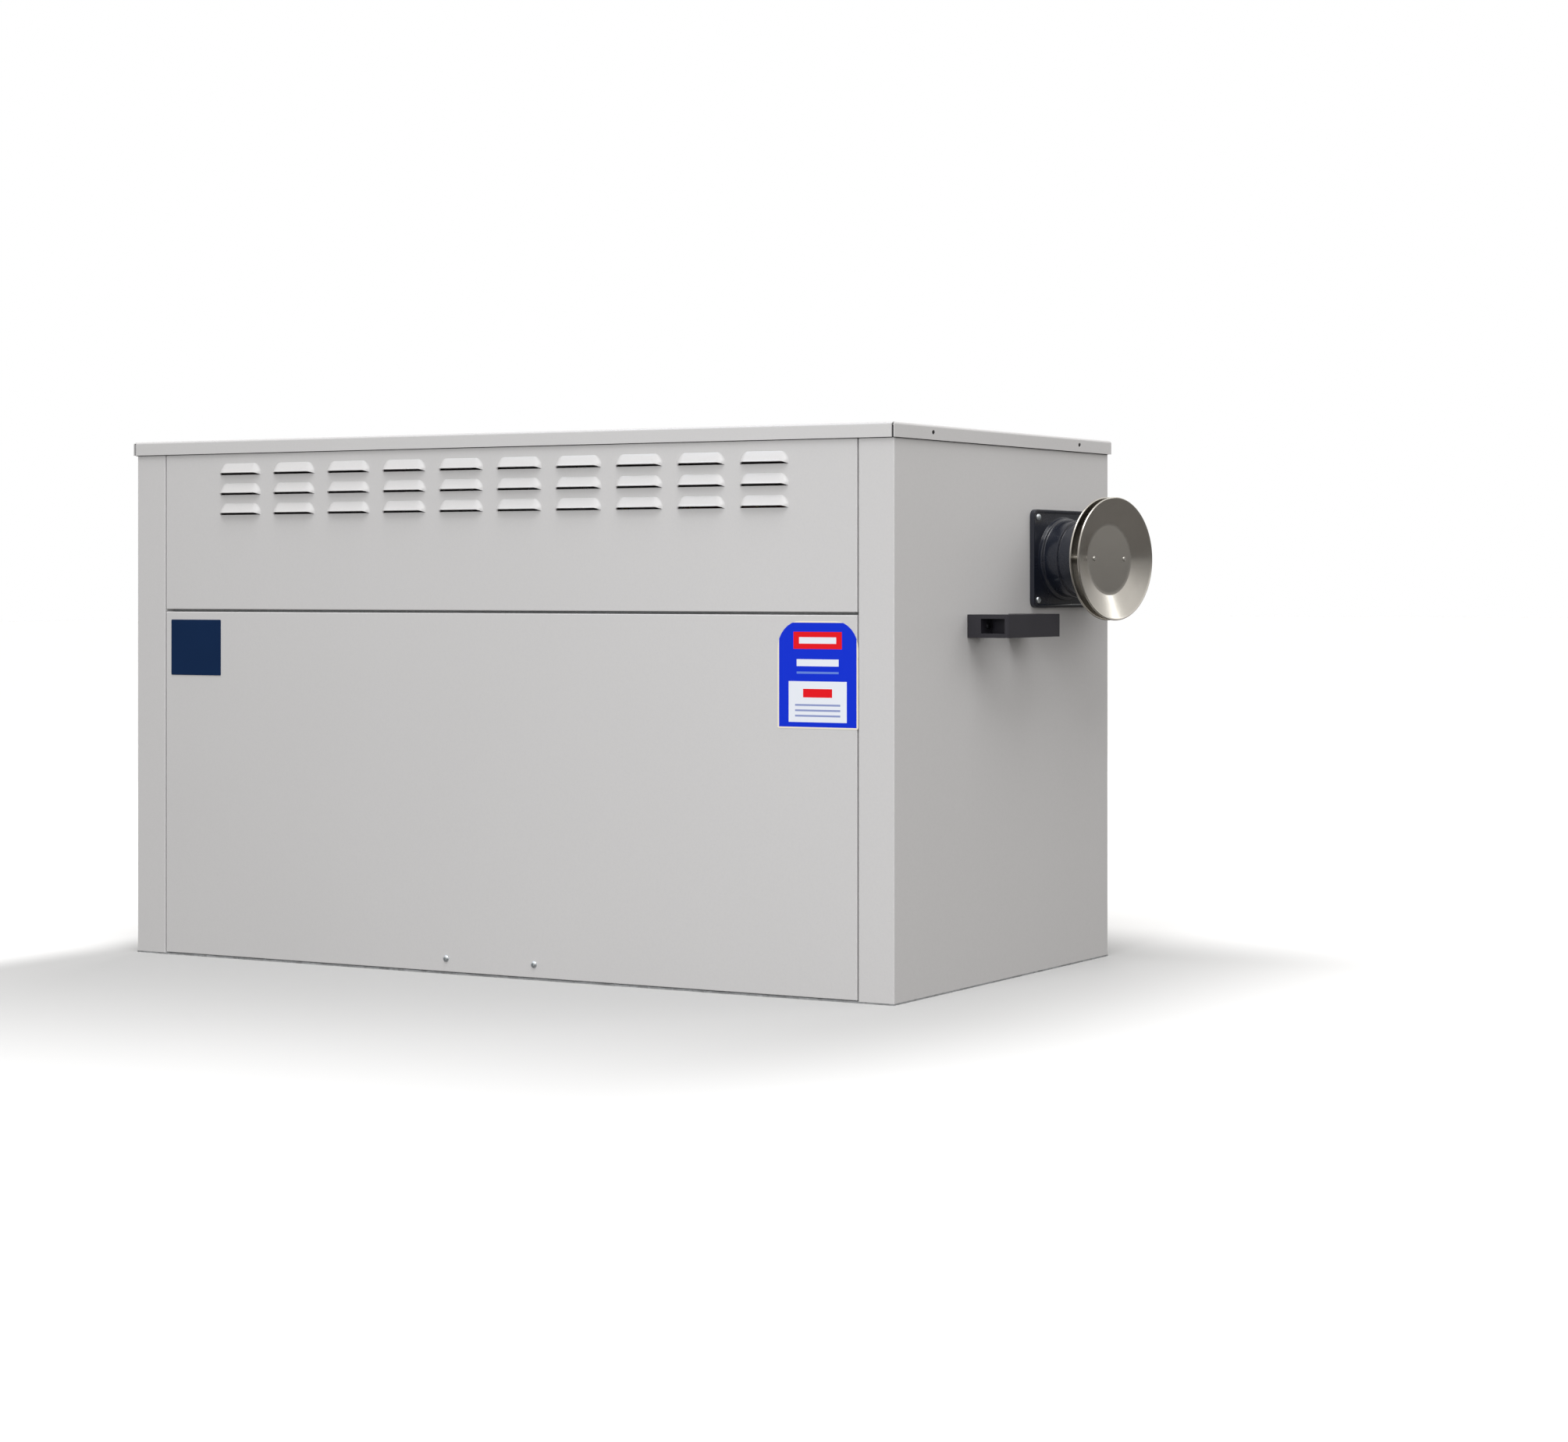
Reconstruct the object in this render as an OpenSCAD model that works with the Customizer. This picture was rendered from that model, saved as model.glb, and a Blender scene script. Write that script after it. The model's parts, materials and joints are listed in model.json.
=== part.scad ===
// Ducted gas furnace for outdoor use: a painted sheet steel case with a fan compartment and a
// heat exchanger compartment below, and a burner compartment above them behind the louvres.
// Millimetres. The origin is on the floor, under the middle of the case; the front faces -Y.

/* [Case] */
// Overall width, across the lid
lid_w = 1190; // [1190:5:1300]
// Overall depth, across the lid
lid_d = 400; // [400:5:540]
// Overall height, from the floor to the top of the lid
case_h = 650; // [650:5:720]
// Thickness of the painted sheet steel
sheet = 1.2; // [0.8:0.1:1.5]
// Thickness of the base tray
base_t = 2; // [1.5:0.5:3]
// Height of the base tray's turned-up edges
tray_lip = 28; // [26:1:40]
// Height of the lid's turned-down edge
lid_skirt = 17; // [14:1:24]
// Gap between the lid's edge and the panels below it
lid_gap = 1.8; // [1:0.1:3]
// Slit at each corner of the lid's edge
lid_slit = 0.8; // [0.5:0.1:1.5]
// Distance from the middle of the side skirts to their empty screw holes
lid_hole_y = 135; // [120:1:190]
// Width of the side panels' returns at the front
post_w = 49; // [40:1:60]
// Depth of the jamb fold behind each front return
jamb_d = 20; // [20:1:24]
// Width of the side panels' returns at the rear
rear_return = 25; // [20:1:35]

/* [Front panels] */
// Height of the gap line between the two panels, as a share of the case's height
split_ratio = 0.67077; // [0.66:0.00001:0.68]
// Width of the gap line
split_gap = 3; // [2.5:0.5:4]
// Gap between the panels and the side returns
panel_gap = 2; // [1.5:0.5:3]
// Depth of the lower panel's folded edges
panel_fold = 18; // [16:1:18]
// Depth of the upper panel's folds at its top and bottom
short_fold = 10; // [8:1:10]
// Gap below the lower panel
panel_drop = 0.6; // [0.5:0.1:0.9]
// Height of the lip that hooks the lower panel on the rail
hook_h = 6; // [5:0.5:8]
// Height of the lower panel's screws above the floor
panel_screw_z = 18.5; // [14:0.5:22]
// Distance of those screws from the middle
panel_screw_x = 69; // [50:1:150]
// Thickness of the insulation blanket inside the lower panel
blanket_t = 12; // [8:1:15]
// Margin around the blanket
blanket_margin = 22; // [18:1:60]
// Width of the plain plate at the panel's upper left
badge_w = 86; // [60:1:100]
// Height of that plate
badge_h = 70; // [50:1:80]
// Thickness of that plate
badge_t = 0.8; // [0.5:0.1:1.5]
// Distance of the plate from the panel's side and top edges
badge_inset = 10; // [6:1:30]

/* [Louvres] */
// Louvres in a row
louvre_cols = 10; // [4:1:10]
// Rows of louvres
louvre_rows = 3; // [1:1:4]
// Distance between louvres in a row
louvre_pitch_x = 91.3; // [80:0.1:96]
// Distance between rows
louvre_pitch_z = 25; // [22:0.5:28]
// Width of one louvre
louvre_w = 69; // [50:1:74]
// Height of one louvre
louvre_h = 16.5; // [12:0.5:18]
// How far a louvre stands out
louvre_d = 6; // [4:0.5:8]
// Distance from the top of the lid to the top row
louvre_below = 27.5; // [26:0.5:40]

/* [Ducts] */
// Outside diameter of the duct spigots
duct_d = 350; // [250:10:350]
// Length of the spigots behind the rear panel
spigot_l = 50; // [40:5:80]
// Wall of the spigots
spigot_t = 1; // [0.8:0.1:1.5]
// Width of the spigots' fixing flange
spigot_flange = 17; // [14:1:20]
// Height of the duct centres above the floor
duct_z = 225; // [222:1:235]

/* [Air fan] */
// Distance from the middle of the case to the partition's left face
partition_x = -30; // [-60:5:0]
// Diameter of the blower wheel
wheel_d = 240; // [200:5:240]
// Width of the blower wheel
wheel_w = 188; // [150:2:190]
// Blades on the wheel
blade_n = 32; // [24:1:40]
// Depth of a blade, from the tip inwards
blade_d = 19; // [14:1:22]
// Gap from the wheel to the start of the scroll
scroll_gap = 12; // [8:1:14]
// Growth of the scroll from its start to its outlet
scroll_grow = 60; // [45:1:62]
// Distance from the wheel's axis to the outlet
outlet_reach = 270; // [255:5:280]
// Gap from the wheel to the side plates
cheek_gap = 11; // [8:1:12]
// Height of the rails below the blower
rail_h = 25; // [20:1:30]
// Height of the rubber mounts on the rails
rubber_h = 6; // [4:1:8]
// Diameter of the blower motor
motor_d = 116; // [90:2:120]
// Length of the blower motor
motor_l = 104; // [80:2:108]
// Diameter of the blower shaft
shaft_d = 12; // [10:1:14]

/* [Heat exchanger] */
// Outside diameter of a heat tube
tube_d = 46; // [38:1:50]
// Wall of a heat tube
tube_t = 1.2; // [1:0.1:2]
// Distance between neighbouring tubes
tube_pitch = 100; // [80:1:105]
// Distance between the two legs of a tube
leg_gap = 190; // [160:5:195]
// Place of the rear legs behind the middle of the case
leg_y = 71; // [62:1:76]
// Gap from the base tray up to the bends
tube_low = 45; // [30:1:70]

/* [Flue] */
// Height of the collector box
collector_h = 29.1; // [26:0.1:36]
// Height of the draft fan's housing
fan_h = 50; // [44:1:56]
// Place of the flue's axis behind the middle of the case
flue_y = 101; // [94:1:106]
// Outside diameter of the flue pipe
flue_d = 80; // [70:1:80]
// Width of the square flange on the right side
flange_w = 119; // [110:1:124]
// Thickness of the flange
flange_t = 5; // [4:0.5:7]
// Diameter of the first step of the collar
collar_d = 94; // [92:1:100]
// Length of the first step, measured off the wall
collar_l1 = 30; // [20:1:36]
// Length of the whole collar, measured off the wall
collar_l2 = 60; // [50:1:66]
// Diameter of the cowl
cowl_d = 150; // [130:2:156]
// Diameter of the flat middle of the front dish
cowl_flat_d = 90; // [70:1:96]
// Gap between the collar's end and the dish
cowl_gap = 10; // [8:1:16]
// Depth of the dish
cowl_dish_d = 11; // [8:1:14]
// Distance from the middle to the rivets in the dish
rivet_r = 30; // [20:1:34]

/* [Handles] */
// Length of a handle
handle_l = 98; // [94:1:130]
// Height of a handle
handle_h = 27; // [24:1:32]
// How far a handle stands out
handle_out = 57; // [50:1:65]
// Width of a handle's legs
handle_leg = 24; // [20:1:28]
// Thickness of the grip
handle_grip = 20; // [16:1:24]
// Length of the solid foot that the screw goes through
handle_foot = 19; // [14:1:24]
// Wall around the pocket in a leg
handle_wall = 5; // [3:0.5:6]
// Middle of the handle in front of the middle of the case
handle_y = -24; // [-40:0.5:20]
// Distance from the gap line down to the middle of the handle
handle_drop = 15.5; // [11:0.5:36]

/* [Gas] */
// Outside diameter of the manifold
manifold_d = 20; // [16:1:22]
// Height of the manifold above the shelf
manifold_up = 144; // [138:1:150]
// Outside diameter of the gas inlet pipe
gas_d = 21.3; // [21.3:0.1:26.9]
// Length of pipe that stands out behind the rear panel
gas_out = 35; // [30:1:60]
// Length of the threaded end of that pipe
gas_thread_l = 25; // [18:1:28]
// Radius of the pipe's elbow
elbow_r = 28; // [24:1:34]

/* [Hidden] */
$fn = 64;
// Gap between pieces that seat on each other without touching
seat = 0.3;
// Radial clearance of a shaft in its hole
run = 0.05;
// How far a cutting shape passes through what it cuts
over = 1;

// Main faces of the case
overhang = sheet + lid_gap;
side_x = lid_w / 2 - overhang;
front_y = overhang - lid_d / 2;
rear_y = lid_d / 2 - overhang;
roof_z = case_h - sheet;
floor_z = base_t;
side_in = side_x - sheet;
rear_out = rear_y - sheet;
rear_in = rear_out - sheet;
post_x = side_x - post_w;
tray_y = front_y + jamb_d + 2;
tray_in_y = tray_y + base_t;

// Front panels, rail and shelf
split_z = case_h * split_ratio;
handle_z = split_z - handle_drop;
panel_x = post_x - panel_gap;
lower_top = split_z - split_gap / 2;
upper_low = split_z + split_gap / 2;
rail_z = lower_top + hook_h + 3;
rail_leg_y = front_y + panel_fold - 6;
rail_d = 26;
rail_lip = 12;
shelf_z = rail_z + sheet;
deck_z = shelf_z + sheet;
shelf_y = front_y + jamb_d + 1;
shelf_lip = 20;
lower_low = floor_z + panel_drop;

// Fasteners
screw_r = 2;
screw_head_r = 4;
screw_head_h = 2.4;
screw_l = 10;
screw_hole_r = 2.2;
lid_screw_z = case_h - lid_skirt / 2;
spigot_screw_r = duct_d / 2 + spigot_flange / 2;
handle_screw_y = handle_l / 2 - handle_leg / 2 - 1;
rear_screw_low = floor_z + 78;
rear_screw_high = roof_z - 88.8;
rear_screw_z = [rear_screw_low, (rear_screw_low + rear_screw_high) / 2, rear_screw_high];
rear_turn = [-90, 0, 0];

// Blower
blower_x = partition_x - outlet_reach;
scroll_r0 = wheel_d / 2 + scroll_gap;
scroll_r1 = scroll_r0 + scroll_grow;
scroll_tip = scroll_r0 * sin(25);
cheek_y = wheel_w / 2 + cheek_gap;
blower_z = floor_z + rail_h + rubber_h + sheet + scroll_r1;
inlet_r = wheel_d / 2 - 16;
blower_flange = 14;
rail_y = 80;
rail_w = 30;
rubber_r = 12;
rubber_x = [20, outlet_reach - 50];
motor_y0 = -(cheek_y + sheet + 12);
motor_y1 = motor_y0 + motor_l;
shaft_in = 30;
shaft_end = 14;
hub_y = motor_y1 + 20;
hub_r = 16;
band_t = 2.3;
arm_t = 3.8;
arm_w = 14;
arm_r = scroll_r0 - 5;

// Heat tubes
supply_x = (partition_x + side_x) / 2;
tube_r = tube_d / 2;
tube_n = 4;
bend_r = leg_gap / 2;
front_leg_y = leg_y - leg_gap;
bend_z = floor_z + tube_low + tube_r + bend_r;
bead_r = tube_r + 4;
bead_t = 1.5;

// Collector box and draft fan
collector_x = (tube_n - 1) / 2 * tube_pitch + tube_r + 22;
collector_y = tube_r + 27;
collector_foot = 12;
flue_z = deck_z + collector_h + fan_h / 2;
fan_wheel_r = 48;
fan_r0 = fan_wheel_r + 6;
fan_r1 = fan_r0 + 24;
fan_tip = fan_r1 - 53;
fan_x = supply_x + 90;
fan_y = flue_y - (fan_r1 + fan_tip) / 2;
fan_out = collector_x + collector_foot + 3 - (fan_x - supply_x);
fan_z0 = deck_z + collector_h;
fan_z1 = fan_z0 + fan_h;
fan_inlet_r = 24;
fan_motor_r = 40;
fan_motor_z0 = fan_z1 + 3;
fan_motor_z1 = fan_motor_z0 + 64;
fan_shaft_r = 4;
cooling_r = 36;
joint_w = 90;
joint_h = 84;
joint_t = 1.5;

// Flue outside
flue_r = flue_d / 2;
flue_wall = 1.2;
collar_bore = flue_r + 0.5;
collar_r1 = collar_d / 2;
collar_r2 = collar_r1 - 2;
flange_corner = 8;
flange_screw = flange_w / 2 - 9.5;
cowl_t = 0.8;
dish_x = collar_l2 + cowl_gap;
strap_x = collar_l2 - 10;
strap_w = 12;
strap_t = 1.5;
post_r = 3.5;
rivet_d = 2;

// Burners and gas
burner_up = 10;
plate_up = 40;
plate_t = 1.5;
plate_y = 34;
plate_x = (tube_n - 1) / 2 * tube_pitch + 52;
burner_r = 15;
burner_t = 1;
throat_r = 9;
bell_up = 96;
electrode_x = plate_x - 22;
manifold_z = deck_z + manifold_up;
manifold_r = manifold_d / 2;
boss_r = 8;
boss_l = 6;
orifice_l = 14;
valve_w = 100;
valve_d = 70;
valve_h = 56;
valve_x1 = supply_x - plate_x - 26;
valve_x0 = valve_x1 - valve_w;
valve_y = front_leg_y;
knob_x = valve_x0 + valve_w / 2;
knob_y = valve_y - valve_d / 2 - 3 - seat;
knob_r = 15;
knob_l = 18;
spindle_r = 4;
spindle_l = 12;
gas_r = gas_d / 2;
gas_wall = 2.6;
gas_x = valve_x0 - 40 - elbow_r;
gas_thread_r = gas_r - 0.17;
gas_hole_r = gas_r + 0.35;

// Electrical parts
box_x0 = -side_in + 30;
box_w = 260;
box_y0 = shelf_y + 18;
box_d = 130;
box_h = 110;
box_t = 1;
board_up = 14;
board_t = 1.6;
switch_w = 22;
switch_h = 29;
switch_in_w = 17;
switch_in_h = 26;
switch_deep = 14;
switch_pin_y = 3;
switch_x = box_x0 + 50;
switch_z = deck_z + 62;
switch_pin_r = 1.5;
rocker_tip = 8;
gland_x = box_x0 + box_w / 2;
gland_z = deck_z + 72;
gland_r = 9;
gland_bore = 5.5;
limit_x = supply_x;
limit_y = leg_y - bend_r;
limit_r = 10;
limit_h = 14;
button_r = 3;
button_up = 3;
vac_x = partition_x + 60;
vac_y = leg_y;
vac_r = 28;
vac_h = 20;
hose_r = 4;
hose_bore = 2.2;
hose_bend = 18;
hose_rise = 45;
hose_top = fan_z1 + hose_rise;
tap_x = fan_x - fan_wheel_r - 7;
tap_h = 10;

paint = "#c4c2c3";
galvanised = "#b4b7b9";
black_plastic = "#24252c";

// ---------------------------------------------------------------- shared shapes

// Box between two opposite corners
module block(a, b) {
  translate(a) cube(b - a);
}

// Cylinder along Y from y0 to y1, with its middle at x, z
module rod_y(x, z, r, y0, y1) {
  translate([x, y0, z]) rotate([-90, 0, 0]) cylinder(r = r, h = y1 - y0);
}

// Cylinder along X from x0 to x1, with its middle at y, z
module rod_x(y, z, r, x0, x1) {
  translate([x0, y, z]) rotate([0, 90, 0]) cylinder(r = r, h = x1 - x0);
}

// Puts its children on the right as they are, or mirrored on the left when s is -1
module mirror_x(s) {
  if (s < 0) mirror([1, 0, 0]) children();
  else children();
}

// Tube along Z from z = 0 up
module pipe(r, wall, h) {
  difference() {
    cylinder(r = r, h = h);
    translate([0, 0, -over]) cylinder(r = r - wall, h = h + 2 * over);
  }
}

// Domed screw: the head starts at z = 0, the shank goes down
module screw(shank = screw_l) {
  ball = (screw_head_r * screw_head_r + screw_head_h * screw_head_h) / (2 * screw_head_h);
  intersection() {
    translate([0, 0, screw_head_h - ball]) sphere(ball);
    cylinder(r = screw_head_r, h = screw_head_h);
  }
  translate([0, 0, -shank]) cylinder(r = screw_r, h = shank + 0.2);
}

// Square outline with round corners, centred
module round_square(w, h, r) {
  square([w - 2 * r, h], center = true);
  square([w, h - 2 * r], center = true);
  for (sx = [-1, 1], sy = [-1, 1])
    translate([sx * (w / 2 - r), sy * (h / 2 - r)]) circle(r);
}

// Outline of a fan scroll that opens towards +X at its lower side
function scroll(r0, r1, tip, out_x) =
  let (a0 = -asin(tip / r0))
  concat(
    [for (i = [0:40]) let (t = i / 40, a = a0 + (270 - a0) * t, r = r0 + (r1 - r0) * t)
      [r * cos(a), r * sin(a)]],
    [[out_x, -r1], [out_x, -tip]]
  );

module scroll_shell(r0, r1, tip, out_x, t, h) {
  linear_extrude(h, center = true)
    difference() {
      polygon(scroll(r0 + t, r1 + t, tip - t, out_x));
      polygon(scroll(r0, r1, tip, out_x + over));
    }
}

module scroll_plate(r0, r1, tip, out_x, t, plate, hole) {
  linear_extrude(plate, center = true)
    difference() {
      polygon(scroll(r0 + t, r1 + t, tip - t, out_x));
      circle(hole);
    }
}

function tube_x(i) = supply_x + (i - (tube_n + 1) / 2) * tube_pitch;

// Places of the case's screws: [position, rotation, shank length]
case_screw_places = concat(
  [for (s = [-1, 1], z = rear_screw_z)
    [[s * (side_x - rear_return / 2), rear_y, z], rear_turn, screw_l]],
  [for (x = [-0.7, 0, 0.7]) [[x * side_x, lid_d / 2, lid_screw_z], rear_turn, screw_l]],
  [for (x = [-0.82, 0, 0.82])
    [[x * side_x, rear_out, floor_z + tray_lip / 2], rear_turn, screw_l]],
  [for (x = [blower_x, supply_x], a = [22.5:45:359])
    [[x + spigot_screw_r * cos(a), rear_out + sheet, duct_z + spigot_screw_r * sin(a)],
      rear_turn, screw_l]],
  [for (sy = [-1, 1], sz = [-1, 1])
    [[side_x + flange_t, flue_y + sy * flange_screw, flue_z + sz * flange_screw],
      [0, 90, 0], screw_l + flange_t]],
  [for (s = [-1, 1], sy = [-1, 1])
    [[s * (side_x + handle_foot), handle_y + sy * handle_screw_y, handle_z],
      [0, s * 90, 0], handle_foot + 8]]
);

module screw_holes(r = screw_hole_r) {
  for (p = case_screw_places)
    translate(p[0]) rotate(p[1]) translate([0, 0, -p[2] - over])
      cylinder(r = r, h = p[2] + 2 * over);
}

// ---------------------------------------------------------------- case

module base_tray() color(galvanised)
  difference() {
    union() {
      block([-side_x, front_y, 0], [side_x, rear_y, floor_z]);
      difference() {
        block([-side_in, tray_y, 0], [side_in, rear_in, floor_z + tray_lip]);
        block([base_t - side_in, tray_in_y, floor_z],
          [side_in - base_t, rear_in - base_t, floor_z + tray_lip + over]);
      }
    }
    for (s = [-1, 1])
      rod_y(s * panel_screw_x, panel_screw_z, screw_r + 0.7, tray_y - over, tray_in_y + over);
    screw_holes();
  }

// Right side: outer sheet, front return with its jamb fold, and rear return
module side_shell() {
  block([side_in, front_y, floor_z], [side_x, rear_y, roof_z]);
  block([post_x, front_y, floor_z], [side_x, front_y + sheet, roof_z]);
  block([post_x, front_y, floor_z], [post_x + sheet, front_y + jamb_d, roof_z]);
  block([side_x - rear_return, rear_out, floor_z], [side_x, rear_y, roof_z]);
}

module right_side_panel() color(paint)
  difference() {
    side_shell();
    rod_x(flue_y, flue_z, flue_r + 1.2, side_in - over, side_x + over);
    screw_holes();
  }

module left_side_panel() color(paint)
  difference() {
    mirror([1, 0, 0]) side_shell();
    screw_holes();
  }

module rear_panel() color(paint)
  difference() {
    block([seat - side_in, rear_in, floor_z], [side_in - seat, rear_out, roof_z]);
    for (x = [blower_x, supply_x])
      rod_y(x, duct_z, duct_d / 2 - spigot_t, rear_in - over, rear_out + over);
    rod_y(gas_x, manifold_z, gas_hole_r, rear_in - over, rear_out + over);
    rod_y(gland_x, gland_z, gland_r - 1, rear_in - over, rear_out + over);
    screw_holes();
  }

module lid() color(paint)
  difference() {
    union() {
      block([-lid_w / 2, -lid_d / 2, roof_z], [lid_w / 2, lid_d / 2, case_h]);
      for (s = [-1, 1]) {
        translate([0, s * (lid_d / 2 - sheet / 2), case_h - lid_skirt / 2])
          cube([lid_w, sheet, lid_skirt], center = true);
        translate([s * (lid_w / 2 - sheet / 2), 0, case_h - lid_skirt / 2])
          cube([sheet, lid_d - 2 * (sheet + lid_slit), lid_skirt], center = true);
      }
    }
    for (s = [-1, 1], sy = [-1, 1])
      rod_x(sy * lid_hole_y, lid_screw_z, screw_hole_r,
        s * lid_w / 2 - 2 * sheet, s * lid_w / 2 + 2 * sheet);
    screw_holes();
  }

// One louvre hood: a shallow scoop, closed at its top and ends and open below
module hood(inset) {
  w = louvre_w - 2 * inset;
  d = louvre_d - inset;
  h = louvre_h - inset;
  corner = h * 0.55;
  intersection() {
    rotate([90, 0, 0]) linear_extrude(2 * d, center = true) {
      translate([-w / 2, -over]) square([w, h - corner + over]);
      translate([corner - w / 2, -over]) square([w - 2 * corner, h + over]);
      for (s = [-1, 1]) translate([s * (w / 2 - corner), h - corner]) circle(corner);
    }
    rotate([0, 90, 0]) linear_extrude(w, center = true) {
      translate([d - h, 0]) circle(d);
      translate([d - h, -d]) square([h + over, 2 * d]);
    }
  }
}

module louvre_places() {
  for (i = [0:louvre_cols - 1], j = [0:louvre_rows - 1])
    translate([
      (i - (louvre_cols - 1) / 2) * louvre_pitch_x,
      front_y,
      case_h - louvre_below - louvre_h - j * louvre_pitch_z
    ]) children();
}

module upper_front_panel() color(paint) {
  top = roof_z - 1;
  difference() {
    union() {
      block([-panel_x, front_y, upper_low], [panel_x, front_y + sheet, top]);
      block([-panel_x, front_y, upper_low], [panel_x, front_y + short_fold, upper_low + sheet]);
      block([-panel_x, front_y, top - sheet], [panel_x, front_y + short_fold, top]);
      for (s = [-1, 1])
        mirror_x(s) {
          block([panel_x - sheet, front_y, upper_low], [panel_x, front_y + short_fold, top]);
          block([panel_x - sheet, front_y, deck_z + 12],
            [panel_x, front_y + jamb_d + seat + sheet, top]);
          block([panel_x - sheet, front_y + jamb_d + seat, deck_z + 12],
            [post_x + 12, front_y + jamb_d + seat + sheet, top]);
        }
      louvre_places() intersection() {
        hood(0);
        block([-louvre_w, -louvre_d - over, 0], [louvre_w, sheet, louvre_h + over]);
      }
    }
    louvre_places() intersection() {
      hood(sheet);
      block([-louvre_w, -louvre_d - over, -over], [louvre_w, sheet + over, louvre_h]);
    }
  }
}

module lower_front_panel() color(paint)
  difference() {
    union() {
      difference() {
        block([-panel_x, front_y, lower_low], [panel_x, front_y + panel_fold, lower_top]);
        block([sheet - panel_x, front_y + sheet, lower_low + sheet],
          [panel_x - sheet, front_y + panel_fold + over, lower_top - sheet]);
      }
      block([-panel_x, front_y + panel_fold - sheet, lower_top - sheet],
        [panel_x, front_y + panel_fold, lower_top + hook_h]);
    }
    for (s = [-1, 1])
      rod_y(s * panel_screw_x, panel_screw_z, screw_hole_r, front_y - over, front_y + 2 * sheet);
  }

module panel_insulation() color("#d8d4c4")
  block([blanket_margin - panel_x, front_y + sheet, lower_low + blanket_margin + 2],
    [panel_x - blanket_margin, front_y + sheet + blanket_t, lower_top - blanket_margin]);

module badge_plate() color("#142846")
  block([badge_inset - panel_x, front_y - badge_t, lower_top - badge_inset - badge_h],
    [badge_inset - panel_x + badge_w, front_y, lower_top - badge_inset]);

module panel_screws() color("silver")
  for (s = [-1, 1])
    translate([s * panel_screw_x, front_y, panel_screw_z]) rotate([90, 0, 0])
      screw(tray_in_y - front_y + 3);

module mid_rail() color(galvanised) {
  block([-post_x, rail_leg_y, rail_z], [post_x, rail_leg_y + rail_d, shelf_z]);
  block([-post_x, rail_leg_y, lower_top + seat], [post_x, rail_leg_y + sheet, shelf_z]);
  block([-post_x, rail_leg_y + rail_d - sheet, rail_z - rail_lip],
    [post_x, rail_leg_y + rail_d, shelf_z]);
}

module shelf() color(galvanised)
  difference() {
    union() {
      block([seat - side_in, shelf_y, shelf_z], [side_in - seat, rear_in, deck_z]);
      for (s = [-1, 1])
        mirror_x(s) block([side_in - seat - sheet, shelf_y, deck_z - shelf_lip],
          [side_in - seat, rear_in, deck_z]);
      block([seat - side_in, rear_in - sheet, deck_z - shelf_lip],
        [side_in - seat, rear_in, deck_z]);
    }
    for (i = [1:tube_n], y = [front_leg_y, leg_y])
      translate([tube_x(i), y, shelf_z - over]) cylinder(r = tube_r + seat, h = sheet + 2 * over);
    translate([limit_x, limit_y, shelf_z - over])
      cylinder(r = limit_r - 2 + seat, h = sheet + 2 * over);
    screw_holes();
  }

module partition() color(galvanised)
  difference() {
    union() {
      block([partition_x, tray_in_y, floor_z], [partition_x + sheet, rear_in - base_t, shelf_z]);
      block([partition_x, tray_in_y, floor_z],
        [partition_x + 16, tray_in_y + sheet, rail_z - rail_lip - 1]);
    }
    block([partition_x - over, -cheek_y, blower_z - scroll_r1],
      [partition_x + over + sheet, cheek_y, blower_z - scroll_tip]);
    block([partition_x - over, tray_in_y - over, rail_z - rail_lip - seat],
      [partition_x + over + sheet, rail_leg_y + rail_d + seat, shelf_z + over]);
  }

// Return spigot at the air fan, supply spigot at the heat tubes
module duct_spigots() color(galvanised)
  for (x = [blower_x, supply_x]) translate([x, rear_out, duct_z]) rotate([-90, 0, 0]) {
    r = duct_d / 2;
    pipe(r, spigot_t, spigot_l);
    difference() {
      cylinder(r = r + spigot_flange, h = sheet);
      translate([0, 0, -over]) cylinder(r = r - spigot_t / 2, h = sheet + 2 * over);
      for (a = [22.5:45:359])
        rotate(a) translate([spigot_screw_r, 0, -over])
          cylinder(r = screw_hole_r, h = sheet + 2 * over);
    }
    translate([0, 0, 9]) rotate_extrude() translate([r - spigot_t / 2, 0]) circle(2, $fn = 24);
  }

// ---------------------------------------------------------------- air fan

module blower_rails() color(galvanised)
  for (s = [-1, 1])
    difference() {
      block([blower_x - 10, s * rail_y - rail_w / 2, floor_z],
        [partition_x - 14, s * rail_y + rail_w / 2, floor_z + rail_h]);
      block([blower_x - 10 - over, s * rail_y - rail_w / 2 + 2, floor_z - over],
        [partition_x - 14 + over, s * rail_y + rail_w / 2 - 2, floor_z + rail_h - 2]);
    }

module blower_mounts() color("#1c1c1e")
  for (s = [-1, 1], x = rubber_x)
    translate([blower_x + x, s * rail_y, floor_z + rail_h]) cylinder(r = rubber_r, h = rubber_h);

// Wrap of the scroll, with the frame of its outlet
module blower_scroll() color(galvanised)
  translate([blower_x, 0, blower_z]) rotate([90, 0, 0]) {
    scroll_shell(scroll_r0, scroll_r1, scroll_tip, outlet_reach, sheet, 2 * cheek_y);
    difference() {
      translate([outlet_reach - sheet, -(scroll_r1 + sheet), -(cheek_y + sheet + blower_flange)])
        cube([sheet, scroll_r1 - scroll_tip + 2 * sheet + blower_flange,
          2 * (cheek_y + sheet + blower_flange)]);
      translate([outlet_reach - 2 * sheet, -scroll_r1, -cheek_y])
        cube([3 * sheet, scroll_r1 - scroll_tip, 2 * cheek_y]);
    }
  }

// Side plates of the scroll with their inlet collars: s is 1 for the front, -1 for the rear
module blower_side_plates() color(galvanised)
  for (s = [-1, 1]) translate([blower_x, 0, blower_z]) rotate([90, 0, 0])
    translate([0, 0, s * (cheek_y + sheet / 2)]) {
      scroll_plate(scroll_r0, scroll_r1, scroll_tip, outlet_reach - sheet, sheet, sheet, inlet_r);
      translate([0, 0, s > 0 ? sheet / 2 - 9 : -sheet / 2]) pipe(inlet_r + sheet, sheet, 9);
    }

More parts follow.
